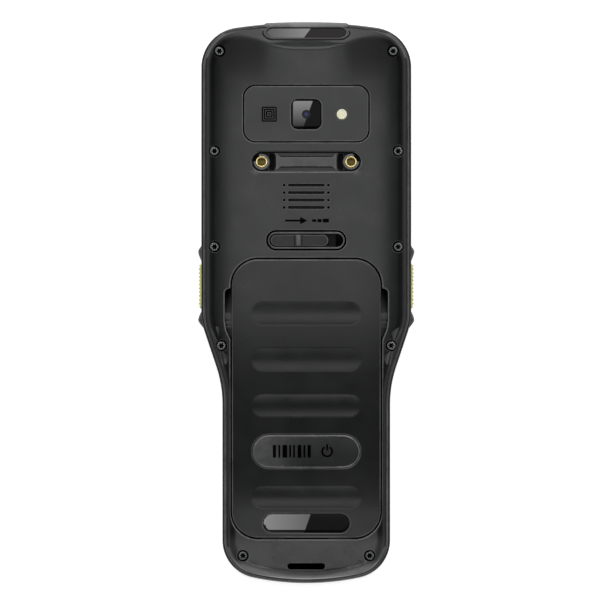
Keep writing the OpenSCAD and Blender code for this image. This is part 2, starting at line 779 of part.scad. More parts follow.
module key_confirm() {
    color("darkgray")
    translate([0, KEYS[3][1], 0]) union() {
        translate([0, 0, 0.4]) cylinder(r = 4.6, h = 3);
        translate([0, 0, 2.95]) cylinder(r = 5.5, h = 0.45);
    }
}
module key_1() { color("gray") key_cap(KEYS[4]); }
module key_2() { color("gray") key_cap(KEYS[5]); }
module key_3() { color("gray") key_cap(KEYS[6]); }
module key_4() { color("gray") key_cap(KEYS[7]); }
module key_5() { color("gray") key_cap(KEYS[8]); }
module key_6() { color("gray") key_cap(KEYS[9]); }
module key_7() { color("gray") key_cap(KEYS[10]); }
module key_8() { color("gray") key_cap(KEYS[11]); }
module key_9() { color("gray") key_cap(KEYS[12]); }
module key_star() { color("gray") key_cap(KEYS[13]); }
module key_0() { color("gray") key_cap(KEYS[14]); }
module key_hash() { color("gray") key_cap(KEYS[15]); }
module key_menu() { color("gray") key_cap(KEYS[16]); }
module key_back() { color("gray") key_cap(KEYS[17]); }
module key_f1() { color("gray") key_cap(KEYS[18]); }
module key_f2() { color("gray") key_cap(KEYS[19]); }

module keypad_mat() {
    color([0.4, 0.4, 0.42])
    translate([0, fascia_y, 0]) union() {
        slab(3.9, 4.5) rrect(52.6, 83.4, 7);
        difference() {
            slab(front_t, 3.9 + e) rrect(52.6, 83.4, 7);
            slab(2, 5) rrect(48.4, 81.2, 5);
        }
    }
}
module keypad_board() {
    color([0.1, 0.35, 0.2])
    translate([0, fascia_y, 0]) slab(4.5, 5.3) rrect(52.6, 83.4, 7);
}

front_housing();
rear_housing();
battery_cover();
rear_button();
rear_switch();
cover_latch();
camera_plate();
camera_window();
camera_module();
flash_lens();
scan_window();
scan_frame();
scan_engine();
strap_inserts();
housing_screws();
side_key_left();
side_key_right();
side_switches();
speaker_mesh();
speaker();
display_glass();
display_module();
keypad_fascia();
keypad_mat();
keypad_board();
main_board();
battery_pack();
battery_contacts();
card_socket();
usb_socket();
usb_flap();
key_scan();
key_soft_left();
key_soft_right();
key_ring();
key_confirm();
key_1();
key_2();
key_3();
key_4();
key_5();
key_6();
key_7();
key_8();
key_9();
key_star();
key_0();
key_hash();
key_menu();
key_back();
key_f1();
key_f2();
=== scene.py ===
import math

import bmesh
import bpy
import numpy as np
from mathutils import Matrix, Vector, geometry
from mathutils.kdtree import KDTree


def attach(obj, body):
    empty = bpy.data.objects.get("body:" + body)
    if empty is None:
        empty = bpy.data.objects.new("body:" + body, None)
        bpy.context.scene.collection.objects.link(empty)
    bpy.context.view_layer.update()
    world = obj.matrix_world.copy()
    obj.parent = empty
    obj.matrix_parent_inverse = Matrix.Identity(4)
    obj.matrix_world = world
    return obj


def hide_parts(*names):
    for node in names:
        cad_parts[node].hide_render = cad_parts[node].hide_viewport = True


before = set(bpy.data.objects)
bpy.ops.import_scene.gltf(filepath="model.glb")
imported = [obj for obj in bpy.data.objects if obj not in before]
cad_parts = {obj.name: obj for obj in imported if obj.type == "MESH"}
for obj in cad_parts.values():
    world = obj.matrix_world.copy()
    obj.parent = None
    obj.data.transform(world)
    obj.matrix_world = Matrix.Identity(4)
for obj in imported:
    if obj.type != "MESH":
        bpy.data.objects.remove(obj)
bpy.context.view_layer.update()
scene = bpy.context.scene
MM = 0.001


# ---- Camera ----
# A very long lens straight above the back of the terminal, almost five metres away, so that
# its sides stay upright.
view_width = 216.0
view_centre = (-2.26, 0.985)
rim_height = 16.0
lens_length = 800.0
sensor_width = 36.0

camera_data = bpy.data.cameras.new("camera")
camera_data.lens = lens_length
camera_data.sensor_width = sensor_width
camera_data.clip_end = 20.0
camera = bpy.data.objects.new("camera", camera_data)
camera.location = (view_centre[0] * MM, view_centre[1] * MM,
                   (view_width * lens_length / sensor_width + rim_height) * MM)
scene.collection.objects.link(camera)
scene.camera = camera


# ---- Front housing ----
# Lower half of the case, moulded in glass-filled nylon with a fine spark-eroded finish. Its
# upper edge stands out all round the rear housing as a narrow rim.
head_half, grip_half, half_length = 37.8, 30.2, 101.0
top_radius, top_corner = 174.0, 14.4
end_radius, end_corner = 92.2, 13.8
waist_top, waist_end = -3.3, -36.6
waist_turn, waist_outer, waist_inner = 18.6, 22.0, 43.0


def arc(cx, cy, radius, start, end, step=0.6, hollow=False):
    """Points (u, v, nu, nv) along an arc in degrees, with normals out of the outline."""
    count = max(2, math.ceil(abs(math.radians(end - start)) * radius / step))
    sign = -1 if hollow else 1
    made = []
    for i in range(count + 1):
        a = math.radians(start + (end - start) * i / count)
        c, s = math.cos(a), math.sin(a)
        made.append((cx + radius * c, cy + radius * s, sign * c, sign * s))
    return made


def straight(u0, v0, u1, v1, step=0.8):
    """Points between two corners of a loop that runs clockwise, ends left out."""
    length = math.hypot(u1 - u0, v1 - v0)
    count = max(1, math.ceil(length / step))
    nu, nv = -(v1 - v0) / length, (u1 - u0) / length
    return [(u0 + (u1 - u0) * i / count, v0 + (v1 - v0) * i / count, nu, nv)
            for i in range(1, count)]


def body_outline():
    """Outline of the whole case, clockwise from the middle of the scanning end."""
    top_centre = half_length - 0.1 - top_radius
    end_centre = end_radius - half_length
    corner_x, foot_x = head_half - top_corner, grip_half - end_corner
    corner_y = top_centre + math.sqrt((top_radius - top_corner) ** 2 - corner_x ** 2)
    foot_y = end_centre - math.sqrt((end_radius - end_corner) ** 2 - foot_x ** 2)
    top_turn = math.degrees(math.atan2(corner_y - top_centre, corner_x))
    end_turn = math.degrees(math.atan2(foot_y - end_centre, foot_x))
    right = arc(0, top_centre, top_radius, 90, top_turn)
    right += arc(corner_x, corner_y, top_corner, top_turn, 0)[1:]
    right += straight(head_half, corner_y, head_half, key_top, 1.0)
    right += straight(head_half, key_top, head_half, key_bottom, 1.0)
    right += [(head_half, key_top, 1, 0), (head_half, key_bottom, 1, 0)]
    right += straight(head_half, key_bottom, head_half, waist_top, 0.5)
    right = sorted(right, key=lambda p: -p[1])
    right += arc(head_half - waist_outer, waist_top, waist_outer, 0, -waist_turn)
    right += arc(grip_half + waist_inner, waist_end, waist_inner,
                 180 - waist_turn, 180, hollow=True)
    right += straight(grip_half, waist_end, grip_half, foot_y, 1.0)
    right += arc(foot_x, foot_y, end_corner, 0, end_turn)
    right += arc(0, end_centre, end_radius, end_turn, -90)[1:]
    return right + [(-u, v, -nu, nv) for u, v, nu, nv in right[-2:0:-1]]


def rounded(cu, cv, width, height, radius, step=0.5):
    """Rounded rectangle about its centre, clockwise."""
    a, b = width / 2 - radius, height / 2 - radius
    made = []
    for su, sv, start in ((1, 1, 90), (1, -1, 0), (-1, -1, -90), (-1, 1, -180)):
        made += arc(cu + su * a, cv + sv * b, radius, start, start - 90, min(step, radius / 3))
        u, v = made[-1][:2]
        if start == 90:
            made += straight(u, v, u, cv - b, step * 1.6) if b > 0.05 else []
        elif start == 0:
            made += straight(u, v, cu - a, v, step * 1.6) if a > 0.05 else []
        elif start == -90:
            made += straight(u, v, u, cv + b, step * 1.6) if b > 0.05 else []
        else:
            made += straight(u, v, cu + a, v, step * 1.6) if a > 0.05 else []
    clean = [made[0]]
    for p in made[1:]:
        if math.hypot(p[0] - clean[-1][0], p[1] - clean[-1][1]) > 0.01:
            clean.append(p)
    if math.hypot(clean[0][0] - clean[-1][0], clean[0][1] - clean[-1][1]) < 0.01:
        clean.pop()
    return clean


def pill(cu, cv, width, height, step=0.4):
    """Rounded rectangle with half-round ends."""
    return rounded(cu, cv, width, height, min(width, height) / 2 - 0.001, step)


def circle(cu, cv, radius, count=48):
    """Circle, clockwise."""
    return [(cu + radius * math.cos(a), cv + radius * math.sin(a), math.cos(a), math.sin(a))
            for a in (-2 * math.pi * i / count for i in range(count))]


def quarter(radius, count=4):
    """(offset, drop) of a rounded edge, from where it starts in the face to the wall."""
    steps = [math.radians(90 * i / count) for i in range(count + 1)]
    return [(radius * (1 - math.sin(a)), radius * (1 - math.cos(a))) for a in steps]


def within(loop, points):
    """Which of the points lie inside the closed loop."""
    edge = np.array([p[:2] for p in loop])
    after = np.roll(edge, -1, axis=0)
    low, high = edge.min(0), edge.max(0)
    near = np.all((points >= low) & (points <= high), axis=1)
    found = np.zeros(len(points), bool)
    for i in np.nonzero(near)[0]:
        u, v = points[i]
        crosses = (edge[:, 1] > v) != (after[:, 1] > v)
        a, b = edge[crosses], after[crosses]
        found[i] = np.sum(a[:, 0] + (v - a[:, 1]) * (b[:, 0] - a[:, 0])
                          / (b[:, 1] - a[:, 1]) > u) % 2
    return found


def grid(across, along):
    """Places at all pairs of two ranges, each given as (start, stop, step)."""
    return [(u, v) for u in np.arange(*across) for v in np.arange(*along)]


def moved(height, change):
    """A height, which is a number or a function of the place, with the change added."""
    return (lambda x, y: height(x, y) + change) if callable(height) else height + change


class Moulding:
    """Mesh of one piece, grown from closed rings in millimetres. place() turns the piece's
    own coordinates into those of the frame."""

    def __init__(self, place=None):
        self.mesh = bmesh.new()
        self.place = place or (lambda u, v, w: (u, v, w))
        self.flat, self.level = {}, {}

    def point(self, u, v, w):
        vert = self.mesh.verts.new(Vector(self.place(u, v, w)) * MM)
        self.flat[vert], self.level[vert] = (u, v), w
        return vert

    def ring(self, loop, offset, height):
        """The loop moved out by offset, at a height that may depend on the place."""
        made = []
        for u, v, nu, nv in loop:
            a, b = u + nu * offset, v + nv * offset
            made.append(self.point(a, b, height(a, b) if callable(height) else height))
        return made

    def rounding(self, loop, height, radius, steps=4, shift=0, hole=False, rising=False,
                 front=False):
        """Rings of the rounded edge of a raised piece or a hole, from its face down to its
        wall or rising the other way. On the front the face looks down."""
        drops = reversed(quarter(radius, steps)) if rising else quarter(radius, steps)
        return [self.ring(loop, (out if hole else -out) + shift,
                          moved(height, drop if front else -drop)) for out, drop in drops]

    def face(self, *verts):
        self.mesh.faces.new(verts)

    def band(self, first, second):
        """Faces between two rings."""
        count = len(first)
        for i in range(count):
            j = (i + 1) % count
            self.face(first[i], first[j], second[j], second[i])

    def strip(self, first, second):
        """Faces between two rows that aren't closed."""
        for i in range(len(first) - 1):
            self.face(first[i], first[i + 1], second[i + 1], second[i])

    def bands(self, rings):
        for first, second in zip(rings, rings[1:]):
            self.band(first, second)

    def cap(self, ring):
        self.face(*ring)

    def skin(self, outer, holes=(), fill=(), height=None, clear=0.3):
        """Triangles between an outer ring and holes, through extra points of the surface."""
        verts = [v for ring in (outer, *holes) for v in ring]
        flat = [self.flat[v] for v in verts]
        edges, start = [], 0
        for ring in (outer, *holes):
            count = len(ring)
            edges += [(start + i, start + (i + 1) % count) for i in range(count)]
            start += count
        tree = KDTree(len(flat))
        for i, (u, v) in enumerate(flat):
            tree.insert((u, v, 0), i)
        tree.balance()
        loops = [[self.flat[v] for v in ring] for ring in (outer, *holes)]
        spots = np.array(fill) if len(fill) else np.zeros((0, 2))
        if len(spots):
            inside = within(loops[0], spots)
            for loop in loops[1:]:
                inside &= ~within(loop, spots)
            spots = [p for p in spots[inside] if tree.find((p[0], p[1], 0))[2] > clear]
        points = [Vector(p) for p in flat] + [Vector((float(p[0]), float(p[1]))) for p in spots]
        out = geometry.delaunay_2d_cdt(points, edges, [], 0, 1e-7, True)
        centres = np.array([sum((out[0][i] for i in f), Vector((0, 0))) / 3 for f in out[2]])
        keep = within(loops[0], centres)
        for loop in loops[1:]:
            keep &= ~within(loop, centres)
        made = {}

        def vert_of(i):
            if i not in made:
                source = out[3][i][0] if out[3][i] else None
                if source is not None and source < len(verts):
                    made[i] = verts[source]
                else:
                    u, v = out[0][i]
                    made[i] = self.point(u, v, height(u, v) if height else 0)
            return made[i]

        for f, kept in zip(out[2], keep):
            if kept:
                corners = [vert_of(i) for i in f]
                if len(set(corners)) == 3:
                    self.face(*corners)

    def lathe(self, cu, cv, profile, count=48):
        """Turned shape through (radius, height) points; a radius of 0 closes it."""
        rings = []
        for radius, w in profile:
            if radius:
                rings.append(self.ring(circle(cu, cv, 0, count), radius, w))
                if len(rings) > 1:
                    self.band(rings[-2], rings[-1])
            elif rings:
                tip = self.point(cu, cv, w)
                for i in range(count):
                    self.face(rings[-1][i], rings[-1][(i + 1) % count], tip)
        return rings

    def piece(self, name, body, material, replaces=(), up=None, crease=32, painted_shade=None, worn_and_highlit=None,
              plain=None):
        """The finished object, riding on its body. Its attribute for wear and painted highlight is 1 on
        its convex edges, but for those that are plain(u, v, w), and its attribute for painted shade is 1 in
        its gaps and bores, as the given function says."""
        bmesh.ops.recalc_face_normals(self.mesh, faces=self.mesh.faces)
        if up:
            # A closed mesh adds up to nothing, and its normals point outwards already
            facing = sum(f.normal.dot(Vector(up)) * f.calc_area() for f in self.mesh.faces)
            if facing < -0.02 * sum(f.calc_area() for f in self.mesh.faces):
                bmesh.ops.reverse_faces(self.mesh, faces=self.mesh.faces)
        places = [(*self.flat.get(v, (0, 0)), self.level.get(v, 0)) for v in self.mesh.verts]
        wear_and_painted_highlight = self.mesh.verts.layers.float.new("wear_and_painted_highlight")
        for vert, spot in zip(self.mesh.verts, places):
            turn = max((e.calc_face_angle_signed(0) for e in vert.link_edges if e.is_manifold),
                       default=0)
            edge = 0 if plain and plain(*spot) else min(1, max(0, math.degrees(turn) - 10.3))
            vert[wear_and_painted_highlight] = min(1, max(0, edge + (worn_and_highlit(*spot) if worn_and_highlit else 0)))
        sunk = self.mesh.verts.layers.float.new("painted_shade")
        for vert, spot in zip(self.mesh.verts, places):
            vert[sunk] = min(1, max(0, painted_shade(*spot))) if painted_shade else 0
        mesh = bpy.data.meshes.new(name)
        self.mesh.to_mesh(mesh)
        self.mesh.free()
        mesh.shade_smooth()
        mesh.set_sharp_from_angle(angle=math.radians(crease))
        mesh.materials.append(material)
        made = bpy.data.objects.new(name, mesh)
        scene.collection.objects.link(made)
        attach(made, body)
        if replaces:
            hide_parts(*replaces)
        return made


def colour(code, share=1):
    """Linear colour of a hex code, times the share."""
    parts = [int(code[i:i + 2], 16) / 255 for i in (0, 2, 4)]
    return [share * (c / 12.92 if c <= 0.04045 else ((c + 0.055) / 1.055) ** 2.4)
            for c in parts] + [1]


def new_group(name, inputs, outputs):
    """Shader node group with named float or colour sockets."""
    group = bpy.data.node_groups.new(name, "ShaderNodeTree")
    for label, kind, value in inputs:
        socket = group.interface.new_socket(label, in_out="INPUT", socket_type=kind)
        socket.default_value = value
    for label, kind in outputs:
        group.interface.new_socket(label, in_out="OUTPUT", socket_type=kind)
    return group, group.nodes.new("NodeGroupInput"), group.nodes.new("NodeGroupOutput")


def feed(tree, node, inputs):
    """Sets inputs of a node by name or place, and links those that are given a socket."""
    for label, value in inputs.items():
        if isinstance(value, bpy.types.NodeSocket):
            tree.links.new(value, node.inputs[label])
        else:
            node.inputs[label].default_value = value


def add_node(tree, kind, inputs=None, **settings):
    """New shader node with its settings and inputs."""
    made = tree.nodes.new("ShaderNode" + kind)
    for label, value in settings.items():
        setattr(made, label, value)
    feed(tree, made, inputs or {})
    return made


def worked_out(tree, operation, *values, **settings):
    """Result of a math node."""
    return add_node(tree, "Math", dict(enumerate(values)), operation=operation,
                    **settings).outputs[0]


def blended(tree, factor, first, second, blend="MIX"):
    """Result of mixing two colours."""
    return add_node(tree, "Mix", {"Factor": factor, "A": first, "B": second},
                    data_type="RGBA", blend_type=blend).outputs["Result"]


def ranged(tree, value, low, high=1.0, start=0.0, end=1.0):
    """A value that lies between start and end, moved to between low and high."""
    return add_node(tree, "MapRange", {"Value": value, "From Min": start, "From Max": end,
                                       "To Min": low, "To Max": high}).outputs[0]


def own_place(tree):
    """The piece's own coordinates, in metres."""
    return add_node(tree, "TexCoord").outputs["Object"]


def noise(tree, place, scale, **more):
    return add_node(tree, "TexNoise", {"Vector": place, "Scale": scale, **more}).outputs[0]


def bumped(tree, height, depth, strength=1.0):
    """Normal of a relief whose depth is in millimetres."""
    return add_node(tree, "Bump", {"Height": height, "Distance": depth * MM,
                                   "Strength": strength}).outputs[0]


def spark_eroded():
    """Grain of a spark-eroded mould. Height is for the bump, Cloud for slow changes of shade."""
    group, given, given_out = new_group(
        "spark_eroded", [("Grain", "NodeSocketFloat", 0.3), ("Cloud size", "NodeSocketFloat", 9.0)],
        [("Height", "NodeSocketFloat"), ("Cloud", "NodeSocketFloat")])
    in_mm = add_node(group, "VectorMath", {0: own_place(group), "Scale": 1 / MM}, operation="SCALE")

    def divided(size):
        return add_node(group, "VectorMath",
                        {0: in_mm.outputs[0], "Scale": worked_out(group, "DIVIDE", 1.0, size)},
                        operation="SCALE").outputs[0]

    fine = divided(given.outputs["Grain"])
    pits = noise(group, fine, 1.0, Detail=2.0)
    craters = add_node(group, "TexVoronoi", feature="SMOOTH_F1")
    feed(group, craters, {"Vector": fine, "Scale": 0.9, "Smoothness": 0.6})
    relief = worked_out(group, "ADD", pits, craters.outputs["Distance"])
    slow = noise(group, divided(given.outputs["Cloud size"]), 1.0, Detail=3.0, Roughness=0.55)
    feed(group, given_out, {"Height": relief, "Cloud": slow})
    return group


def used_surface():
    """Lighter and smoother on convex edges, which is wear and painted highlight, broken up by
    noise, and painted shade, dull and black, down in gaps and bores."""
    group, given, given_out = new_group(
        "used_surface", [("Wear_and_painted_highlight", "NodeSocketFloat", 0.0), ("Painted_shade", "NodeSocketFloat", 0.0),
                         ("Cloud", "NodeSocketFloat", 0.5), ("Amount", "NodeSocketFloat", 0.05),
                         ("Colour", "NodeSocketColor", (0, 0, 0, 1)),
                         ("Roughness", "NodeSocketFloat", 0.4)],
        [("Colour", "NodeSocketColor"), ("Roughness", "NodeSocketFloat"), ("Dead", "NodeSocketFloat")])
    painted_shade = given.outputs["Painted_shade"]
    patches = ranged(group, given.outputs["Cloud"], 0.5, start=0.3, end=0.6)
    worn_and_highlit = worked_out(group, "MULTIPLY", patches, given.outputs["Wear_and_painted_highlight"])
    added = worked_out(group, "MULTIPLY", worn_and_highlit, given.outputs["Amount"])
    lighter = blended(group, 1.0, given.outputs["Colour"], added, "ADD")
    # Painted shade: near black down in gaps and bores
    painted_shade_black = (0.0006, 0.0006, 0.0006, 1)
    darker = blended(group, worked_out(group, "MULTIPLY", painted_shade, 0.9), lighter, painted_shade_black)
    smooth = worked_out(group, "MULTIPLY_ADD", worn_and_highlit, -0.06, given.outputs["Roughness"])
    dull = worked_out(group, "MAXIMUM", smooth, painted_shade)
    # A black metal has hardly any sheen, so this mask takes the plastic's away where shade is painted
    dead = worked_out(group, "MULTIPLY", painted_shade, 0.97)
    feed(group, given_out, {"Colour": darker, "Roughness": dull, "Dead": dead})
    return group


def use_on(tree, shader, tint, roughness, cloud, amount):
    """Connects the shader through the group of wear, painted highlight and painted shade."""
    use = add_node(tree, "Group", node_tree=wear_and_light_group)
    feed(tree, use, {"Amount": amount, "Cloud": cloud, "Colour": tint, "Roughness": roughness})
    for label in ("wear_and_painted_highlight", "painted_shade"):
        painted = add_node(tree, "Attribute", attribute_name=label)
        feed(tree, use, {label.capitalize(): painted.outputs["Fac"]})
    feed(tree, shader, {"Base Color": use.outputs["Colour"], "Roughness": use.outputs["Roughness"]})
    if shader.inputs["Metallic"].default_value == 0:
        feed(tree, shader, {"Metallic": use.outputs["Dead"]})


grain_group, wear_and_light_group = spark_eroded(), used_surface()


def surface_material(name, **values):
    """Principled material with these values, its node tree and its shader."""
    made = bpy.data.materials.new(name)
    made.use_nodes = True
    shader = made.node_tree.nodes["Principled BSDF"]
    for label, value in values.items():
        shader.inputs[label.replace("_", " ")].default_value = value
    return made, made.node_tree, shader


def moulded(name, shade, roughness, grain=0.3, depth=0.012, uneven=0.12, wear_and_painted_highlight=0.1, **values):
    """Plastic or rubber with mould grain. Grain size and depth are in millimetres."""
    made, tree, shader = surface_material(name, **{"Specular_IOR_Level": 0.4, **values})
    texture = add_node(tree, "Group", node_tree=grain_group)
    feed(tree, texture, {"Grain": grain})
    cloud = texture.outputs["Cloud"]
    tint = blended(tree, cloud, colour(shade, 1 - uneven), colour(shade, 1 + uneven))
    sheen = ranged(tree, cloud, roughness - 0.03, roughness + 0.03, 0.3, 0.7)
    use_on(tree, shader, tint, sheen, cloud, wear_and_painted_highlight)
    feed(tree, shader, {"Normal": bumped(tree, texture.outputs["Height"], depth, 0.6)})
    return made


key_middle, key_length, key_height, key_width = 5.9, 16.0, 9.0, 7.0
key_gap = 0.25
key_top = key_middle + key_length / 2 + key_gap
key_bottom = key_middle - key_length / 2 - key_gap
window_low = key_height - key_width / 2 - 0.2
window_high = key_height + key_width / 2 + 0.2
outline = body_outline()
outline_tree = KDTree(len(outline))
for index, (u, v, _, _) in enumerate(outline):
    outline_tree.insert((u, v, 0), index)
outline_tree.balance()


def inset_of(x, y):
    """Distance from a place on the back to the outline."""
    u, v, nu, nv = outline[outline_tree.find((x, y, 0))[1]]
    return (u - x) * nu + (v - y) * nv


front_plastic = moulded("front_shell_plastic", "131416", 0.3, grain=0.22, wear_and_painted_highlight=0.17)
front = Moulding()
# (inset, height) from the seam over the rim and down the side
rim_profile = [(1.8, 15.1), (1.56, 15.2), (1.54, 15.8), (1.47, 15.95), (1.35, 16.0), (1.1, 16.0),
               (0.85, 15.97), (0.6, 15.88), (0.38, 15.72), (0.18, 15.45), (0.05, 15.15), (0.0, 14.8)]
wall_profile = [(0.0, window_high), (0.0, window_low), (0.0, 4.6)]
face_turn = [(3.2 * (1 - math.cos(a)), 4.4 * (1 - math.sin(a)))
             for a in (math.radians(90 * i / 10) for i in range(1, 11))]
front_rings = [front.ring(outline, -inset, z)
               for inset, z in rim_profile + wall_profile + face_turn]
window_row = len(rim_profile)
for row, (upper, lower) in enumerate(zip(front_rings, front_rings[1:])):
    for i in range(len(outline)):
        j = (i + 1) % len(outline)
        middle = (outline[i][1] + outline[j][1]) / 2
        beside = abs(abs(outline[i][0]) - head_half) < 0.01 and key_bottom < middle < key_top
        if row == window_row and beside:
            continue
        front.face(upper[i], upper[j], lower[j], lower[i])
# Linings of the two openings for the side keys
lining_depth = 3
lining = rounded(0, 0, key_length + 2 * key_gap, window_high - window_low, 0.02, 4)
for side in (-1, 1):
    inner, edge = ([front.point(side * (head_half - depth), key_middle + u, key_height + v)
                    for u, v, _, _ in lining] for depth in (lining_depth, 0))
    front.band(edge, inner)

glass_middle, glass_width, glass_length = 46.0, 64.0, 92.0
fascia_middle, fascia_width, fascia_length = -46.5, 52.0, 83.0
front_holes = []
for loop, depth in ((rounded(0, glass_middle, glass_width + 0.3, glass_length + 0.3, 4.0), 2.1),
                    (rounded(0, fascia_middle, fascia_width + 0.3, fascia_length + 0.3, 9.0), 2.6),
                    (pill(0, 95.4, 12, 1.2, 0.2), 3.0), (circle(0, -94, 0.6, 24), 3.0)):
    edge_rings = front.rounding(loop, 0, 0.2, 3, hole=True, front=True)
    edge_rings.append(front.ring(loop, 0, depth))
    front.bands(edge_rings)
    front_holes.append(edge_rings[0])
front.skin(front_rings[-1], front_holes)
# Painted shade on the inner side of the rim, along the foot of the rear housing
front.piece("front_case", "terminal", front_plastic, ["front_housing"], up=(0, 0, -1),
            plain=lambda u, v, w: v > 97 or 13 < w < 15.9,
            painted_shade=lambda u, v, w: (15.8 - w) / 0.4 if w > 15 and inset_of(u, v) > 1.4 else 0)

# Guards that stand up beside the side keys, so that a fall doesn't land on them
guard_rubber = moulded("guard_plastic", "262b32", 0.4, grain=0.25)
guard_reach, guard_half, guard_rise = 6.4, 6.2, 1.17
guard_rows, guard_steps = 24, 12
guard_levels = [key_height + guard_half * math.sin(math.radians(90 * j / guard_steps))
                for j in range(-guard_steps, guard_steps + 1)]


def guard_height(y, base, peak, far, z):
    """How far a guard stands out at a place on the side."""
    t = (y - base) / (peak - base)
    if t < 1:
        plan = head_half - 0.6 + 1.77 * (1 - (1 - t) ** 1.6)
    else:
        plan = head_half + guard_rise - 2.4 * ((y - peak) / (far - peak)) ** 1.25
    across = head_half - 4.2 + math.sqrt(max(0, guard_reach ** 2 - (z - key_height) ** 2))
    gap = max(0.5 - abs(plan - across), 0)
    return min(plan, across, head_half + guard_rise) - gap * gap / 2


for side, hand in ((-1, "left"), (1, "right")):
    for base, peak, far, end in ((13.95, 18.6, 22.0, "upper"), (-2.15, -6.4, -9.6, "lower")):
        guard = Moulding()
        rows = []
        for i in range(guard_rows + 1):
            y = base + (far - base) * i / guard_rows
            rows.append([guard.point(side * guard_height(y, base, peak, far, z), y, z)
                         for z in guard_levels])
        for first, second in zip(rows, rows[1:]):
            guard.strip(first, second)
        # Both ends run back into the case
        for row in (rows[0], rows[-1]):
            root = [guard.point(side * (head_half - 1), guard.flat[v][1], z)
                    for v, z in zip(row, guard_levels)]
            guard.strip(row, root)
        guard.piece(f"guard_{end}_{hand}", "terminal", guard_rubber,
                    up=(side, 0, 0))


# ---- Display ----
# Hardened cover glass bonded into the front housing over the panel. A black print on its
# back face hides the bonding and frames the picture area.
screen_width, screen_length, screen_middle = 54.0, 78.0, 46.5
glass_face, glass_back = 0.7, 2.1

glass_print, tree, shader = surface_material(
    "display_glass_print", Roughness=0.06, IOR=1.5, Coat_Weight=0.6, Coat_Roughness=0.02)
place = own_place(tree)
parts = add_node(tree, "SeparateXYZ", {0: place}).outputs


def beyond(tree, socket, middle, half):
    """1 where the coordinate is more than half away from the middle, in millimetres."""
    away = worked_out(tree, "ABSOLUTE", worked_out(tree, "SUBTRACT", socket, middle * MM))
    return worked_out(tree, "GREATER_THAN", away, half * MM)


border = worked_out(tree, "MAXIMUM", beyond(tree, parts["X"], 0, screen_width / 2),
                    beyond(tree, parts["Y"], screen_middle, screen_length / 2))
smear = noise(tree, place, 60.0, Detail=4.0)
panel_tint = blended(tree, smear, colour("14171b"), colour("191d22"))
feed(tree, shader, {"Base Color": blended(tree, border, panel_tint, colour("050506")),
                    "Roughness": ranged(tree, smear, 0.04, 0.1)})

glass = Moulding()
glass_edge_radius = 0.3
glass_loop = rounded(0, glass_middle, glass_width, glass_length, 3.9)
glass_rings = [glass.ring(glass_loop, -0.9, glass_face)]
glass_rings += glass.rounding(glass_loop, glass_face, glass_edge_radius, front=True)
glass_rings.append(glass.ring(glass_loop, 0, glass_back))
glass.bands(glass_rings)
glass.cap(glass_rings[0])
glass.cap(glass_rings[-1])
glass.piece("cover_glass", "terminal", glass_print, ["display_glass"], up=(0, 0, -1))


# ---- Keypad ----
# Moulded fascia with a silicone mat behind it. The keys are caps with dished tops and
# printed signs, and the scan key is in the signal colour of the side keys.
key_travel_face = 0.4
key_seat = 3.4
key_pitch = (15.0, 10.0)
number_top = -43.6
key_caps = {
    "key_scan": (0, -11.5, 17, 9, 0.99), "key_soft_left": (16.5, -11.5, 12, 7, 0.6),
    "key_soft_right": (-16.5, -11.5, 12, 7, 0.6), "key_ring": (0, -27.5, 19, 19, 0.99),
    "key_menu": (16.7, -22.5, 10.6, 6.6, 0.6), "key_back": (-16.7, -22.5, 10.6, 6.6, 0.6),
    "key_f1": (16.7, -32.2, 10.6, 6.6, 0.6), "key_f2": (-16.7, -32.2, 10.6, 6.6, 0.6)}
key_legends = {f"key_{number}": str(number) for number in range(1, 10)}
key_legends.update({"key_star": "*", "key_0": "0", "key_hash": "#"})
for index, name in enumerate(key_legends):
    row, column = divmod(index, 3)
    key_caps[name] = ((1 - column) * key_pitch[0], number_top - row * key_pitch[1], 12.4, 7.4, 0.7)

fascia_plastic = moulded("fascia_plastic", "141517", 0.3, grain=0.2)
key_plastic = moulded("key_plastic", "34363a", 0.42, grain=0.2, uneven=0.06)
signal_rubber = moulded("signal_rubber", "dcdc6e", 0.5, grain=0.25, uneven=0.06)
legend_ink = moulded("legend_ink", "e6e6e2", 0.55, grain=0.1, uneven=0.03)

fascia_face, fascia_back, key_play = 1.4, 2.6, 0.25
fascia = Moulding()
fascia_loop = rounded(0, fascia_middle, fascia_width, fascia_length, 8.8)
fascia_rings = [fascia.ring(fascia_loop, -0.8, fascia_face)]
fascia_rings += fascia.rounding(fascia_loop, fascia_face, 0.35, front=True)
fascia_rings.append(fascia.ring(fascia_loop, 0, fascia_back))
fascia.bands(fascia_rings)
fascia_holes = []
for x, y, width, height, roundness in key_caps.values():
    radius = min(width, height) / 2 * roundness + 0.24
    loop = rounded(x, y, width + 2 * key_play, height + 2 * key_play, radius)
    hole = fascia.rounding(loop, fascia_face, 0.15, 3, hole=True, front=True)
    hole.append(fascia.ring(loop, 0, fascia_back))
    fascia.bands(hole)
    fascia_holes.append(hole[0])
fascia.skin(fascia_rings[0], fascia_holes)
fascia.piece("keypad_bezel", "terminal", fascia_plastic, ["keypad_fascia"], up=(0, 0, -1))


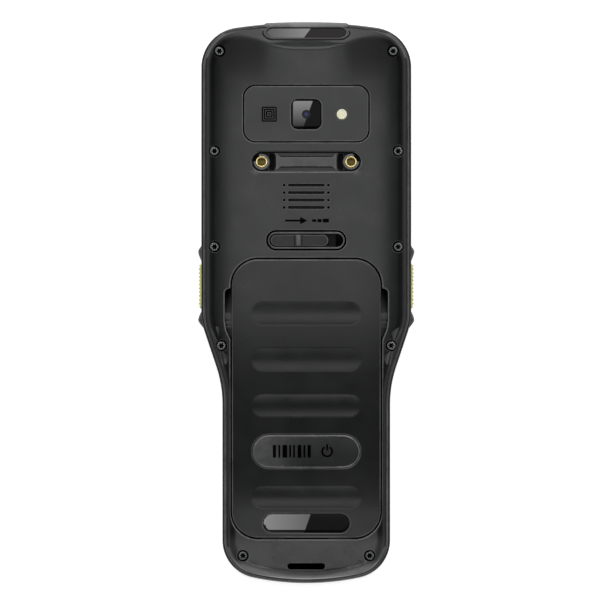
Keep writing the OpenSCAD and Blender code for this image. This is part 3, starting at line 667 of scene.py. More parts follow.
def key_cap(name, x, y, width, height, roundness, material):
    """A cap with a rounded edge and a shallow dish."""
    cap = Moulding()
    radius = min(width, height) / 2 * roundness
    loop = rounded(x, y, width, height, radius, 0.35)
    outer = [cap.ring(loop, 0.6, key_seat), cap.ring(loop, 0.6, fascia_back),
             cap.ring(loop, 0.02, fascia_back)]
    outer += cap.rounding(loop, key_travel_face, 0.5, 5, rising=True, front=True)
    if name == "key_ring":
        # Four-way ring with a bore for the confirm key
        rise = [(-1.3, 0.05), (-2.4, 0.28), (-3.3, 0.42)]
        outer += [cap.ring(loop, inset, key_travel_face + dip) for inset, dip in rise]
        bore = circle(x, y, 4.9, len(loop))
        start = min(range(len(loop)), key=lambda i: math.hypot(bore[0][0] + 4 - loop[i][0],
                                                              bore[0][1] - loop[i][1]))
        bore = bore[-start:] + bore[:-start]
        into_bore = [(0.3, key_travel_face + 0.42), (0.08, key_travel_face + 0.5),
                     (0, key_travel_face + 0.7), (0, key_seat)]
        outer += [cap.ring(bore, out, level) for out, level in into_bore]
        cap.bands(outer)
    else:
        top_edge = [cap.flat[vert] for vert in outer[-1]]
        for share in (0.32, 0.55, 0.75):
            dish = 0.22 * (1 - (1 - share) ** 2)
            outer.append([cap.point(x + (u - x) * (1 - share), y + (v - y) * (1 - share),
                                    key_travel_face + dish) for u, v in top_edge])
        cap.bands(outer)
        cap.cap(outer[-1])
    return cap.piece(name + "_cap", name, material, [name], up=(0, 0, -1))


for name, (x, y, width, height, roundness) in key_caps.items():
    key_cap(name, x, y, width, height, roundness,
            signal_rubber if name == "key_scan" else key_plastic)

confirm = Moulding()
confirm.lathe(0, -27.5, [(0, 0.72), (1.5, 0.68), (2.8, 0.58), (3.7, 0.44), (4.1, 0.42), (4.38, 0.5),
                         (4.55, 0.68), (4.6, 0.95), (4.6, 2.95), (5.5, 2.95), (5.5, 3.4)][::-1])
confirm.piece("confirm_cap", "key_confirm", key_plastic, ["key_confirm"], up=(0, 0, -1))


legend_size, legend_level = 5.2, 0.61


def legend(name, body, text, x, y):
    """Printed character that faces away from the front."""
    curve = bpy.data.curves.new(name + "_outline", "FONT")
    curve.body = text
    curve.size = legend_size * MM
    curve.align_x, curve.align_y = "CENTER", "CENTER"
    curve.extrude = 0.02 * MM
    writing = bpy.data.objects.new(name + "_outline", curve)
    scene.collection.objects.link(writing)
    bpy.context.view_layer.update()
    mesh = bpy.data.meshes.new_from_object(writing.evaluated_get(bpy.context.evaluated_depsgraph_get()))
    bpy.data.objects.remove(writing)
    for vert in mesh.vertices:
        vert.co = Vector((x * MM - vert.co.x, y * MM + vert.co.y, legend_level * MM - vert.co.z))
    mesh.name = name
    mesh.materials.clear()
    mesh.materials.append(legend_ink)
    made = bpy.data.objects.new(name, mesh)
    scene.collection.objects.link(made)
    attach(made, body)


for name, character in key_legends.items():
    x, y = key_caps[name][:2]
    legend(name + "_legend", name, character, x, y)


mark_level, mark_thick = 0.6, 0.03


def mark(name, body, corners, w=mark_level, material=legend_ink):
    """Flat printed mark on the front, from corner points in millimetres."""
    made = Moulding()
    face = [made.point(u, v, w) for u, v in corners]
    root = [made.point(u, v, w + mark_thick) for u, v in corners]
    made.cap(face)
    made.cap(root)
    made.band(face, root)
    return made.piece(name, body, material, up=(0, 0, -1))


def turned(points, x, y, turns=0):
    """Corner points turned by quarter turns and moved."""
    for _ in range(turns):
        points = [(-v, u) for u, v in points]
    return [(x + u, y + v) for u, v in points]


for turns in range(4):
    mark(f"ring_arrow_{turns}", "key_ring",
         turned([(-1.1, 6.4), (1.1, 6.4), (0, 7.8)], 0, -27.5, turns), 0.52)
for row in (-1, 0, 1):
    low, high = row * 1.15 - 0.22, row * 1.15 + 0.22
    mark(f"menu_bar_{row + 1}", "key_menu",
         turned([(-1.8, low), (1.8, low), (1.8, high), (-1.8, high)], 16.7, -22.5))
mark("back_arrow", "key_back", turned([(1.9, 0), (-1.3, 1.6), (-0.6, 0), (-1.3, -1.6)], -16.7, -22.5))
for name, x in (("soft_left", 16.5), ("soft_right", -16.5)):
    mark(name + "_bar", "key_" + name,
         turned([(-2, -0.25), (2, -0.25), (2, 0.25), (-2, 0.25)], x, -11.5))
for name, x, dots in (("f1", 16.7, 1), ("f2", -16.7, 2)):
    for dot in range(dots):
        spot = circle(x + (dot - (dots - 1) / 2) * 2.2, -32.2, 0.6, 20)
        mark(f"{name}_dot_{dot}", "key_" + name, [p[:2] for p in spot])
# (middle, width) of each bar on the scan key
scan_bars = ((-3.6, 0.5), (-2.5, 0.9), (-1.2, 0.4), (-0.2, 0.8), (1.2, 0.4), (2.1, 1.0), (3.5, 0.4))
bar_low, bar_high = -13.2, -9.8
for bar, (x, width) in enumerate(scan_bars):
    left, right = x - width / 2, x + width / 2
    mark(f"scan_bar_{bar}", "key_scan",
         [(left, bar_low), (right, bar_low), (right, bar_high), (left, bar_high)],
         material=fascia_plastic)


# ---- Boards and parts inside ----
# Fibreglass boards under green solder resist, shield cans of tinned steel, and plastic
# modules. They show only where the case is open.
def graded(tree, factor, first, last, between=()):
    """Colours between two hex codes, with others at places between them."""
    made = add_node(tree, "ValToRGB", {0: factor})
    made.color_ramp.elements[0].color = colour(first)
    made.color_ramp.elements[1].color = colour(last)
    for at, code in between:
        made.color_ramp.elements.new(at).color = colour(code)
    return made.outputs[0]


def solder_resist():
    """Green lacquer with copper areas that show through as square cells."""
    made, tree, shader = surface_material("solder_resist", Roughness=0.35, Coat_Weight=0.3)
    cells = add_node(tree, "TexVoronoi", {"Vector": own_place(tree), "Scale": 400.0},
                     distance="CHEBYCHEV").outputs["Distance"]
    feed(tree, shader, {"Base Color": graded(tree, cells, "0f4a2c", "1d6a43"),
                        "Normal": bumped(tree, cells, 0.03)})
    return made


def brushed(name, shade, roughness, length=6.0):
    """Metal with fine drawn marks along its length."""
    made, tree, shader = surface_material(name, Metallic=1.0)
    stretch = add_node(tree, "Mapping", {"Vector": own_place(tree), "Scale": (1 / length, 4.0, 4.0)})
    marks = noise(tree, stretch.outputs[0], 1600.0, Detail=3.0)
    tint = blended(tree, marks, colour(shade, 0.82), colour(shade))
    sheen = ranged(tree, marks, roughness - 0.06, roughness + 0.06)
    use_on(tree, shader, tint, sheen, marks, 0.08)
    feed(tree, shader, {"Normal": bumped(tree, marks, 0.004, 0.3)})
    return made


board_green = solder_resist()
tinned_steel = brushed("tinned_steel", "b9bcc0", 0.35)
brass = brushed("brass", "c0ac6a", 0.3, length=1.0)
module_plastic = moulded("module_plastic", "17181a", 0.45, grain=0.15)
mat_silicone = moulded("mat_silicone", "4a4c50", 0.6, grain=0.2)
battery_wrap = moulded("battery_wrap", "1b1e27", 0.38, grain=0.12)
inner_materials = {
    "main_board": board_green, "keypad_board": board_green, "rear_switch": board_green,
    "usb_socket": tinned_steel, "card_socket": tinned_steel, "side_switches": module_plastic,
    "display_module": module_plastic, "speaker": module_plastic, "camera_module": module_plastic,
    "scan_engine": module_plastic, "keypad_mat": mat_silicone, "battery_pack": battery_wrap,
    "battery_contacts": brass}
for name, material in inner_materials.items():
    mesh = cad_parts[name].data
    mesh.materials.clear()
    mesh.materials.append(material)


# ---- Rear housing ----
# Upper half of the case, moulded in the same nylon as the front. The back is level across
# the head, falls away along the grip and rolls over into the sides.
head_top, grip_top = 29.0, 21.5
fall_start, fall_end = 12.0, -76.0
level_half, roll_radius = 15.0, 48.0
edge_width, edge_drop = 3.6, 2.9
rear_inset = 1.5


def spine(y):
    """Height of the back along its middle."""
    t = min(1, max(0, (fall_start - y) / (fall_start - fall_end)))
    return head_top - (head_top - grip_top) * t ** 3 * (4 - 3 * t)


def spine_angle(y):
    """Slope of the back along its middle, in radians."""
    t = min(1, max(0, (fall_start - y) / (fall_start - fall_end)))
    return math.atan(12 * t * t * (1 - t) * (head_top - grip_top) / (fall_start - fall_end))


def roll(x):
    """How far the back has fallen towards the sides."""
    beyond_level = max(0, abs(x) - level_half)
    return roll_radius - math.sqrt(roll_radius ** 2 - beyond_level ** 2)


def back(x, y):
    """Height of the back, before its edges are rounded."""
    return spine(y) - roll(x)


def soft_min(a, b, reach):
    """The lower of two heights, rounded where they meet."""
    gap = max(reach - abs(a - b), 0)
    return min(a, b) - gap * gap / (4 * reach)


def brow(x):
    """Where the back turns down to the scanning end."""
    u = min(1, abs(x) / 23.4)
    if u < 1:
        return 91.3 + 4.1 * ((1 - math.cos(math.pi * u)) / 2) ** 1.8
    return 95.4 - 0.0276 * (abs(x) - 23.4) ** 2


def chin(x):
    """Where the back turns down to the charging end."""
    return -97.5 + 0.0084 * x * x


window_line = 93.1
lead_turn, scan_turn = math.radians(29), math.radians(50)
end_turn = math.radians(48)


def ends_rounded(x, y, height):
    """The height cut down by the slopes at both ends."""
    level = head_top - roll(x)
    if y > 80:
        brow_line = brow(x)
        if brow_line < window_line:
            height = soft_min(height, level - (y - brow_line) * math.tan(lead_turn), 0.45)
        slope = level - (y - max(window_line, brow_line)) * math.tan(scan_turn)
        return soft_min(height, slope, 0.6)
    slope = grip_top - roll(x) - (chin(x) - y) * math.tan(end_turn)
    return soft_min(height, slope, 0.8)


def rear_top(x, y):
    """Outer surface of the rear housing."""
    into = min(1, max(0, (inset_of(x, y) - rear_inset) / edge_width))
    drop = edge_drop * (1 - math.sqrt(1 - (1 - into) ** 2))
    return ends_rounded(x, y, back(x, y) - drop)


rear_plastic = moulded("rear_shell_plastic", "101112", 0.3, grain=0.3)
rear = Moulding()
edge_start = 2.2
edge_angle = math.acos(1 - (edge_start - rear_inset) / edge_width)
edge_rings = [rear.ring(outline, -1.62, 15.2), rear.ring(outline, -1.5, 16.1)]
for step in range(0, 6):
    a = edge_angle * step / 6
    inset = rear_inset + edge_width * (1 - math.cos(a))
    drop = edge_drop * (1 - math.sin(a))
    edge_rings.append(rear.ring(outline, -inset, lambda x, y: max(
        16.4, ends_rounded(x, y, back(x, y) - drop))))
edge_rings.append(rear.ring(outline, -edge_start, rear_top))
rear.bands(edge_rings)
rear_holes = []


def recess(shape, loop, surface, radius, depth_height, support=0.22, floor=True):
    """A pocket with a rounded rim, whose floor is level or follows a surface."""
    rings = [shape.ring(loop, radius + support, surface)]
    rings += shape.rounding(loop, surface, radius, hole=True)
    rings.append(shape.ring(loop, -0.02, depth_height))
    shape.bands(rings)
    if floor:
        shape.cap(rings[-1])
    return rings


# Counterbores of the housing screws
counterbore = 2.4
screw_places = [(side * x, y) for side in (-1, 1)
                for x, y in ((31.2, 90.4), (33.0, 54.5), (33.0, 20.1), (30.5, -15.4), (22.8, -91.0))]
for x, y in screw_places:
    rear_holes.append(recess(rear, circle(x, y, 2.1, 40), rear_top, 0.15,
                             back(x, y) - counterbore, support=0.12)[0])

# Camera recess
plate_middle, plate_width, plate_height, plate_corner, plate_play = 67.9, 45.2, 20.4, 4.4, 0.34
bed_loop = rounded(0, plate_middle, plate_width + plate_play, plate_height + plate_play,
                   plate_corner + 0.1)
camera_bed = recess(rear, bed_loop, rear_top, 0.16, moved(back, -1.25), floor=False)
rear_holes.append(camera_bed[0])
rear.skin(camera_bed[-1])

# Speaker slots and pilot dots
slot_top, slot_pitch, slot_width, slot_height = 42.2, 2.667, 13.2, 1.05
mesh_top = head_top - 2.2
for row in range(4):
    y = slot_top - row * slot_pitch
    rear_holes.append(recess(rear, pill(0, y, slot_width, slot_height, 0.2), rear_top, 0.1,
                             mesh_top, support=0.12, floor=False)[0])
    for x in (-7.95, 7.95):
        rear_holes.append(recess(rear, circle(x, y, 0.5, 20), rear_top, 0.08, head_top - 1.2,
                                 support=0.1)[0])

# Latch: a fine groove, a level ring, and the slot that the slider moves in
latch_middle, latch_face, groove_floor = 22.4, head_top - 0.05, head_top - 0.8
groove_outer = pill(0, latch_middle, 28.9, 7.4, 0.3)
groove_inner = pill(0, latch_middle, 27.6, 6.1, 0.3)
groove = [rear.ring(groove_outer, 0.3, rear_top)]
groove += rear.rounding(groove_outer, head_top, 0.1, 3, hole=True)
groove.append(rear.ring(groove_outer, -0.03, groove_floor))
rear.bands(groove)
rear_holes.append(groove[0])
ring_edge = [rear.ring(groove_inner, 0.03, groove_floor)]
ring_edge += rear.rounding(groove_inner, latch_face, 0.22, rising=True)
rear.bands(ring_edge)
rear.skin(groove[-1], [ring_edge[0]])
slot_loop = pill(0, latch_middle, 26.6, 4.76, 0.3)
slot_rings = [rear.ring(slot_loop, 0.35, latch_face)]
slot_rings += rear.rounding(slot_loop, latch_face, 0.15, 3, hole=True)
slot_rings += [rear.ring(slot_loop, -0.02, head_top - 2.35), rear.ring(slot_loop, 1.2, head_top - 2.37),
               rear.ring(slot_loop, 1.2, head_top - 3.6)]
rear.bands(slot_rings)
rear.skin(ring_edge[-1], [slot_rings[0]])
rear.cap(slot_rings[-1])

# Strap recess: a shallow pocket, bosses for the inserts, a raised bar between two wells
strap_middle, strap_width, strap_height = 50.6, 39.9, 7.65
insert_reach = 16.05
pocket_floor = head_top - 2.3
well_floor = head_top - 6.4
strap_loop = pill(0, strap_middle, strap_width, strap_height, 0.4)
pocket = [rear.ring(strap_loop, 0.3, rear_top)]
pocket += rear.rounding(strap_loop, rear_top, 0.5, 5, shift=-0.4, hole=True)
pocket += [rear.ring(strap_loop, -0.45, head_top - 1.0), rear.ring(strap_loop, -0.48, pocket_floor),
           rear.ring(strap_loop, -0.74, pocket_floor)]
rear.bands(pocket)
rear_holes.append(pocket[0])
pocket_holes = []
boss_top = head_top - 0.9
for side in (-1, 1):
    boss = circle(side * insert_reach, strap_middle, 2.9, 48)
    boss_rings = [rear.ring(boss, 0.02, pocket_floor)]
    boss_rings += rear.rounding(boss, boss_top, 0.2, 3, rising=True)
    bore = circle(side * insert_reach, strap_middle, 2.14, 48)
    boss_rings += [rear.ring(bore, 0.05, boss_top), rear.ring(bore, 0, head_top - 1.0),
                   rear.ring(bore, 0, head_top - 3)]
    rear.bands(boss_rings)
    pocket_holes.append(boss_rings[0])
bar_half, bar_reach, bar_flare = 1.7, 10.9, 2.9


def filleted(corners, step=0.4):
    """Closed clockwise loop through corner points (u, v, radius) with rounded corners."""
    made = []
    count = len(corners)
    spots = [Vector(c[:2]) for c in corners]
    ways = [(spots[(i + 1) % count] - spots[i]).normalized() for i in range(count)]
    halves = [math.acos(max(-1, min(1, -ways[i - 1].dot(ways[i])))) / 2 for i in range(count)]
    wanted = [c[2] / math.tan(h) + 1e-6 for c, h in zip(corners, halves)]
    for i, (u, v, radius) in enumerate(corners):
        here, half = spots[i], halves[i]
        before, after = -ways[i - 1], ways[i]
        if half > math.pi / 2 - 0.01 or radius == 0:
            made.append(here)
            continue
        # Two corners share the side between them in the ratio of what they need
        shared = [0.98 * (spots[j] - here).length * wanted[i] / (wanted[i] + wanted[j])
                  for j in (i - 1, (i + 1) % count)]
        reach = min([wanted[i]] + shared)
        radius = reach * math.tan(half)
        centre = here + (before + after).normalized() * (radius / math.sin(half))
        first, last = here + before * reach, here + after * reach
        start = math.atan2(first.y - centre.y, first.x - centre.x)
        end = math.atan2(last.y - centre.y, last.x - centre.x)
        turn = (end - start + math.pi) % (2 * math.pi) - math.pi
        arcs = max(2, math.ceil(abs(turn) * radius / step))
        made += [centre + Vector((math.cos(start + turn * k / arcs),
                                  math.sin(start + turn * k / arcs))) * radius
                 for k in range(arcs + 1)]
    dense = []
    for a, b in zip(made, made[1:] + made[:1]):
        pieces = max(1, math.ceil((b - a).length / (2 * step)))
        dense += [a + (b - a) * k / pieces for k in range(pieces)]
    loop = []
    for i, p in enumerate(dense):
        along = (dense[(i + 1) % len(dense)] - dense[i - 1]).normalized()
        loop.append((p.x, p.y, -along.y, along.x))
    return loop


def bar_outline():
    """The bar with ends that flare out to the long walls of the recess."""
    corners = [(-bar_reach, bar_flare, 0.25), (-bar_reach + 0.5, bar_flare, 0.25),
               (-bar_reach + 1.6, bar_half, 0.7), (bar_reach - 1.6, bar_half, 0.7),
               (bar_reach - 0.5, bar_flare, 0.25), (bar_reach, bar_flare, 0.25),
               (bar_reach, -bar_flare, 0.25), (bar_reach - 0.5, -bar_flare, 0.25),
               (bar_reach - 1.6, -bar_half, 0.7), (-bar_reach + 1.6, -bar_half, 0.7),
               (-bar_reach + 0.5, -bar_flare, 0.25), (-bar_reach, -bar_flare, 0.25)]
    return filleted([(u, v + strap_middle, r) for u, v, r in corners], 0.3)


well_half, bite_radius = 2.95, 3.08
for side in (-1, 1):
    # Well beside the bar, cut short by the boss
    bite = [(insert_reach - math.sqrt(bite_radius ** 2 - v * v), v, 0)
            for v in (1.5, 1.1, 0.6, 0, -0.6, -1.1, -1.5)]
    corners = [(11.3, well_half, 0.7), (13.3, well_half, 0.4), *bite,
               (13.3, -well_half, 0.4), (11.3, -well_half, 0.7)]
    corners = [(side * u, v + strap_middle, r) for u, v, r in corners][::side]
    well = filleted(corners, 0.3)
    well_rings = [rear.ring(well, 0.04, pocket_floor), rear.ring(well, 0, pocket_floor - 0.08),
                  rear.ring(well, -0.02, well_floor)]
    rear.bands(well_rings)
    rear.skin(well_rings[-1])
    pocket_holes.append(well_rings[0])
bar_loop = bar_outline()
bar_top = head_top - 0.45
bar_rings = [rear.ring(bar_loop, 0.05, pocket_floor)]
bar_rings += rear.rounding(bar_loop, bar_top, 0.22, rising=True)
bar_rings.append(rear.ring(bar_loop, -0.4, bar_top))
rear.bands(bar_rings)
rear.skin(bar_rings[-1])
pocket_holes.append(bar_rings[0])
# Points close to the bar's foot, so that its shade stays narrow
foot_fill = [(u, strap_middle + v) for u in np.arange(-9.2, 9.3, 0.4)
             for v in (-2.15, -2.55, 2.15, 2.55)]
rear.skin(pocket[-1], pocket_holes, foot_fill, lambda x, y: pocket_floor, clear=0.2)

# Opening of the battery cover with the finger notches at its sides, the ledge that carries
# the cover, and the bay
cover_width, cover_upper, cover_lower, cover_corner = 54.0, 15.9, -84.8, 9.7
cover_gap, cover_thick = 0.35, 2.0
cover_middle = (cover_upper + cover_lower) / 2
cover_length = cover_upper - cover_lower
seat_half = cover_width / 2 + cover_gap
notch_out, notch_upper, notch_lower = cover_width / 2 + 2.4, 5.2, -13.3
seat_upper = cover_upper + cover_gap
seat_lower = cover_lower - cover_gap
seat_corner = cover_corner + cover_gap
right_side = [(seat_half, seat_upper, seat_corner), (seat_half, notch_upper, 0.3),
              (notch_out, notch_upper, 2.4), (notch_out, -6.5, 3), (notch_out - 0.5, -9.8, 3),
              (seat_half, notch_lower, 1.5), (seat_half, seat_lower, seat_corner)]
opening_loop = filleted(right_side + [(-u, v, r) for u, v, r in reversed(right_side)], 0.4)


def ledge(x, y):
    """Floor that the cover rests on, lower in the finger notches."""
    level = back(x, y) - cover_thick - 0.05
    if abs(x) > 24 and notch_lower < y < notch_upper + 0.3:
        level = min(level, 22.9 + (notch_upper - y) * math.tan(math.radians(10.7)))
    return level


def notch_floor(x, y):
    """The ledge, cut off where the notches run out into the back."""
    in_notch = abs(x) > seat_half + 0.05 and notch_lower < y < notch_upper
    return min(ledge(x, y), rear_top(x, y) - 0.26) if in_notch else ledge(x, y)


opening = [rear.ring(opening_loop, 0.42, rear_top)]
opening += rear.rounding(opening_loop, rear_top, 0.4, shift=-0.12, hole=True)
opening.append(rear.ring(opening_loop, -0.16, notch_floor))
rear.bands(opening)
rear_holes.append(opening[0])
bay_width, bay_upper, bay_lower, bay_floor = 49.4, 12.6, -82.2, 10.0
bay_loop = rounded(0, (bay_upper + bay_lower) / 2, bay_width, bay_upper - bay_lower, 3.6)
bay_rings = [rear.ring(bay_loop, 0.2, ledge), rear.ring(bay_loop, 0, moved(ledge, -0.2)),
             rear.ring(bay_loop, 0, bay_floor)]
rear.bands(bay_rings)
rear.cap(bay_rings[-1])
rear.skin(opening[-1], [bay_rings[0]])

# Strap slot at the charging end
rear_holes.append(recess(rear, pill(0, -94.8, 13.5, 2.25, 0.25), rear_top, 0.25, 14.0)[0])

# Seat of the scan window frame in the slope
window_middle = 96.9


def scan_plane(x, y):
    """Plane of the scan window."""
    return head_top - (y - window_line) * math.tan(scan_turn)


# The hood covers the seat's outer edge, which stops short of the rounded end
seat_loop = [(u, min(window_middle + v * math.cos(scan_turn), 98.3 - u * u / 348), nu, nv * 0.64)
             for u, v, nu, nv in pill(0, 0, 31.6, 8, 0.35)]
seat = [rear.ring(seat_loop, 0.25, rear_top)]
seat += rear.rounding(seat_loop, rear_top, 0.15, 3, hole=True)
seat.append(rear.ring(seat_loop, 0, moved(scan_plane, -1.3)))
rear.bands(seat)
rear.skin(seat[-1])
rear_holes.append(seat[0])

# The surface between all of these, finer where it turns
rear_fill = []
for inset in (2.5, 2.8, 3.1, 3.45, 3.8, 4.15, 4.5, 4.8, 5.1):
    rear_fill += [(u - nu * inset, v - nv * inset) for u, v, nu, nv in outline]
for across, along, least in (((-36.0, 36.1, 1.7), (-99.0, 99.0, 1.7), 5.8),
                             ((-35.0, 35.1, 0.6), (88.5, 99.4, 0.45), 2.5),
                             ((-28.0, 28.1, 0.6), (-99.3, -93.5, 0.45), 2.5)):
    rear_fill += [(u, v) for v in np.arange(*along) for u in np.arange(*across)
                  if inset_of(u, v) > least]
rear.skin(edge_rings[-1], rear_holes, rear_fill, rear_top, clear=0.25)


def ramp(value, start, end):
    """Rises smoothly from 0 at the start to 1 at the end."""
    t = min(1, max(0, (value - start) / (end - start)))
    return t * t * (3 - 2 * t)


def rear_depth(u, v, w):
    """Painted shade of the rear housing: 1 down in its gaps, slots and bores, and less along the foot of
    its side walls, on the head's upper corners and on the floors of its pockets.
    """
    sunk = rear_top(u, v) - w
    beside = (inset_of(u, v) - 1.6) / 1.2
    if abs(v) < 88 and beside < 1:
        # Painted shade along the foot of the side walls
        return max(0.8 * (1 - beside), (sunk - 0.3) / 0.5)
    if v > 60 and sunk < 0.3:
        # Painted shade darkens the head's upper corners
        return 0.47 * ramp(v, 62, 92) * ramp(abs(u), 5, 18) * (1 - 0.5 * ramp(abs(u), 26, 36))
    if abs(u) < 20 and abs(v - strap_middle) < 3.9:
        # Painted shade in the strap pocket, darkest along its upper wall and at the bar's foot
        from_wall = strap_height / 2 - math.hypot(max(0, abs(u) - 16.1), v - strap_middle)
        upper = v > strap_middle
        foot = abs(u) < 11.1 and abs(v - strap_middle) < bar_half + 0.15
        floor = 0.9 if foot or from_wall < 0.6 and upper else 0.12 if abs(u) < 11.2 else 0.6
        wall = abs(u) > 17 or abs(v - strap_middle) > 3.1
        return 0.6 if sunk > 2.7 else floor if sunk > 2.1 else (sunk - 0.2) / 0.4 * (upper and wall)
    if abs(u) < 14.6 and abs(v - latch_middle) < 3:
        return min(0.7 if sunk > 1 else 1, (sunk - 0.3) / 0.4)
    if bay_lower - 0.3 < v < bay_upper + 0.3 and abs(u) < bay_width / 2 + 0.3:
        return 0.5 * (sunk > 1)
    if abs(u) > seat_half + 0.1 and notch_lower < v < notch_upper:
        return (sunk - 0.4) / 3
    return (sunk - 0.3) / 0.5


def rear_worn(u, v, w):
    """Lighter on the strap bar, on the pocket's lower edge and towards the charging end: wear from the
    strap and a table, and painted highlight.
    """
    across = strap_middle - v
    if abs(u) < 20 and abs(across) < 5:
        on_bar = abs(u) < bar_reach + 0.1 and abs(across) < 3.2 and w > bar_top - 0.3
        return 0.42 * (on_bar or 3.2 < across < 4)
    return 0.3 * ramp(-v, 82, 87)


def rear_plain(u, v, w):
    """The slopes at both ends and the pocket's upper edge get no wear and no painted highlight."""
    return v > 86 or v < -95.6 or abs(u) < 20 and 3.4 < v - strap_middle < 4.3


rear.piece("rear_case", "terminal", rear_plastic, ["rear_housing"], up=(0, 0, 1),
           painted_shade=rear_depth, worn_and_highlit=rear_worn, plain=rear_plain)


# ---- Speaker mesh ----
# Woven stainless mesh with a black finish, glued behind the slots.
thread_pitch = 0.25


def woven():
    """Two sets of threads that cross."""
    made, tree, shader = surface_material("woven_mesh", Metallic=0.7, Roughness=0.5)
    place = own_place(tree)
    threads = [add_node(tree, "TexWave", {"Vector": place, "Scale": 1000 / (20 * thread_pitch)},
                        bands_direction=way).outputs["Fac"] for way in ("X", "Y")]
    crossing = worked_out(tree, "MULTIPLY", *threads)
    feed(tree, shader, {"Base Color": graded(tree, crossing, "050505", "1c1c1d"),
                        "Normal": bumped(tree, crossing, 0.05)})
    return made


speaker_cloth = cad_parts["speaker_mesh"].data
speaker_cloth.materials.clear()
speaker_cloth.materials.append(woven())


# ---- Housing screws ----
# Ten star-drive machine screws in blackened steel, sunk in their counterbores. They hold
# the two housings together.
screw_steel = brushed("screw_steel", "4a4b4d", 0.34, length=1.0)
screw_radius, screw_head = 1.7, 1.3
screws = Moulding()
for x, y in screw_places:
    seat_height = back(x, y) - counterbore
    top = seat_height + screw_head
    turns = 60
    star = []
    for i in range(turns):
        a = -2 * math.pi * i / turns
        radius = 0.9 + 0.22 * math.cos(6 * a)
        star.append((x + radius * math.cos(a), y + radius * math.sin(a), math.cos(a), math.sin(a)))
    rim = circle(x, y, 0, turns)
    rings = [screws.ring(rim, screw_radius, seat_height), screws.ring(rim, screw_radius, top - 0.3),
             screws.ring(rim, screw_radius - 0.06, top - 0.12), screws.ring(rim, screw_radius - 0.22, top),
             screws.ring(rim, 1.25, top + 0.03), screws.ring(star, 0.06, top + 0.02),
             screws.ring(star, 0, top - 0.06), screws.ring(star, -0.06, top - 0.9)]
    screws.bands(rings)
    screws.cap(rings[-1])


def star_depth(u, v, w):
    """Painted shade: 1 down in the star and beside the heads."""
    x, y = min(screw_places, key=lambda p: math.hypot(p[0] - u, p[1] - v))
    return (back(x, y) - counterbore + screw_head - 0.1 - w) / 0.2


screws.piece("star_screws", "terminal", screw_steel, ["housing_screws"], up=(0, 0, 1), crease=40,
             painted_shade=star_depth)


# ---- Strap inserts ----
# Knurled brass inserts, heat-set into their bosses, with an internal M3 thread.
insert_radius, thread_radius = 2.1, 1.35
inserts = Moulding()
for side in (-1, 1):
    x = side * insert_reach
    top = head_top - 1.1
    thread = [(thread_radius + 0.12, top - 0.1)]
    depth = 0.25
    while depth < 5.5:
        thread += [(thread_radius - 0.02, top - depth), (thread_radius + 0.16, top - depth - 0.25)]
        depth += 0.5
    inserts.lathe(x, strap_middle, [(insert_radius, top - 6), (insert_radius, top - 0.15),
                                    (insert_radius - 0.03, top - 0.04), (insert_radius - 0.1, top),
                                    (thread_radius + 0.25, top)] + thread + [(0, top - 5.8)], 48)
# Painted shade down in the threaded bores, at most half
inserts.piece("threaded_inserts", "terminal", brass, ["strap_inserts"], up=(0, 0, 1), crease=50,
              painted_shade=lambda u, v, w: min(0.5, (head_top - 1.2 - w) / 0.6))


# ---- Camera group ----
# A moulded plate let into the back carries the camera window and the flash lens. The tag
# reader's coil sits under the small printed tile.
plate_plastic = moulded("plate_plastic", "121314", 0.3, grain=0.26)
camera_middle, camera_window, flash_place = 67.7, 10.9, 12.75
plate = Moulding()
plate_loop = rounded(0, plate_middle, plate_width, plate_height, plate_corner)
plate_rings = [plate.ring(plate_loop, -0.75, back)]
plate_rings += plate.rounding(plate_loop, back, 0.3, shift=-0.24)
plate_rings.append(plate.ring(plate_loop, -0.22, moved(back, -1.2)))
plate.bands(plate_rings)
window_hole = rounded(0, camera_middle, camera_window, camera_window, 2.5)
window_rings = [plate.ring(window_hole, 0.4, head_top)]
window_rings += plate.rounding(window_hole, head_top, 0.18, hole=True)
window_rings.append(plate.ring(window_hole, 0, head_top - 1))
plate.bands(window_rings)
flash_hole = circle(flash_place, camera_middle, 1.95)
flash_rings = [plate.ring(flash_hole, 0.3, head_top)]
flash_rings += plate.rounding(flash_hole, head_top, 0.12, 3, hole=True)
flash_rings.append(plate.ring(flash_hole, 0, head_top - 1.2))
plate.bands(flash_rings)
plate.skin(plate_rings[0], [window_rings[0], flash_rings[0]], grid((-22, 22.1, 1.2), (58, 78, 1.5)),
           back)
# Painted shade down in the window and flash holes and along the plate's foot
plate.piece("camera_surround", "terminal", plate_plastic, ["camera_plate"], up=(0, 0, 1),
            painted_shade=lambda u, v, w: (back(u, v) - w - 0.3) / 0.4)

# Tag tile: a square coil in black ink
tile_ink = moulded("tile_ink", "030303", 0.7, grain=0.15, wear_and_painted_highlight=0, Specular_IOR_Level=0.02)
tile_place, coil_line = -13.3, 0.96
tile_foot, tile_face = head_top - 0.02, head_top + 0.015
tile = Moulding()
for half in (2.7, 1.95, 1.2):
    coil_out = rounded(tile_place, camera_middle, 2 * half, 2 * half, 0.5, 0.4)
    coil_in = rounded(tile_place, camera_middle, 2 * half - coil_line, 2 * half - coil_line, 0.2, 0.4)
    outside = [tile.ring(coil_out, 0, tile_foot), tile.ring(coil_out, 0, tile_face)]
    inside = [tile.ring(coil_in, 0, tile_foot), tile.ring(coil_in, 0, tile_face)]
    tile.bands(outside)
    tile.bands(inside)
    tile.skin(outside[1], [inside[1]])
core = rounded(tile_place, camera_middle, 0.7, 0.7, 0.2, 0.3)
tile.cap(tile.ring(core, 0, tile_face))
tile.piece("tag_coil_print", "terminal", tile_ink, up=(0, 0, 1))


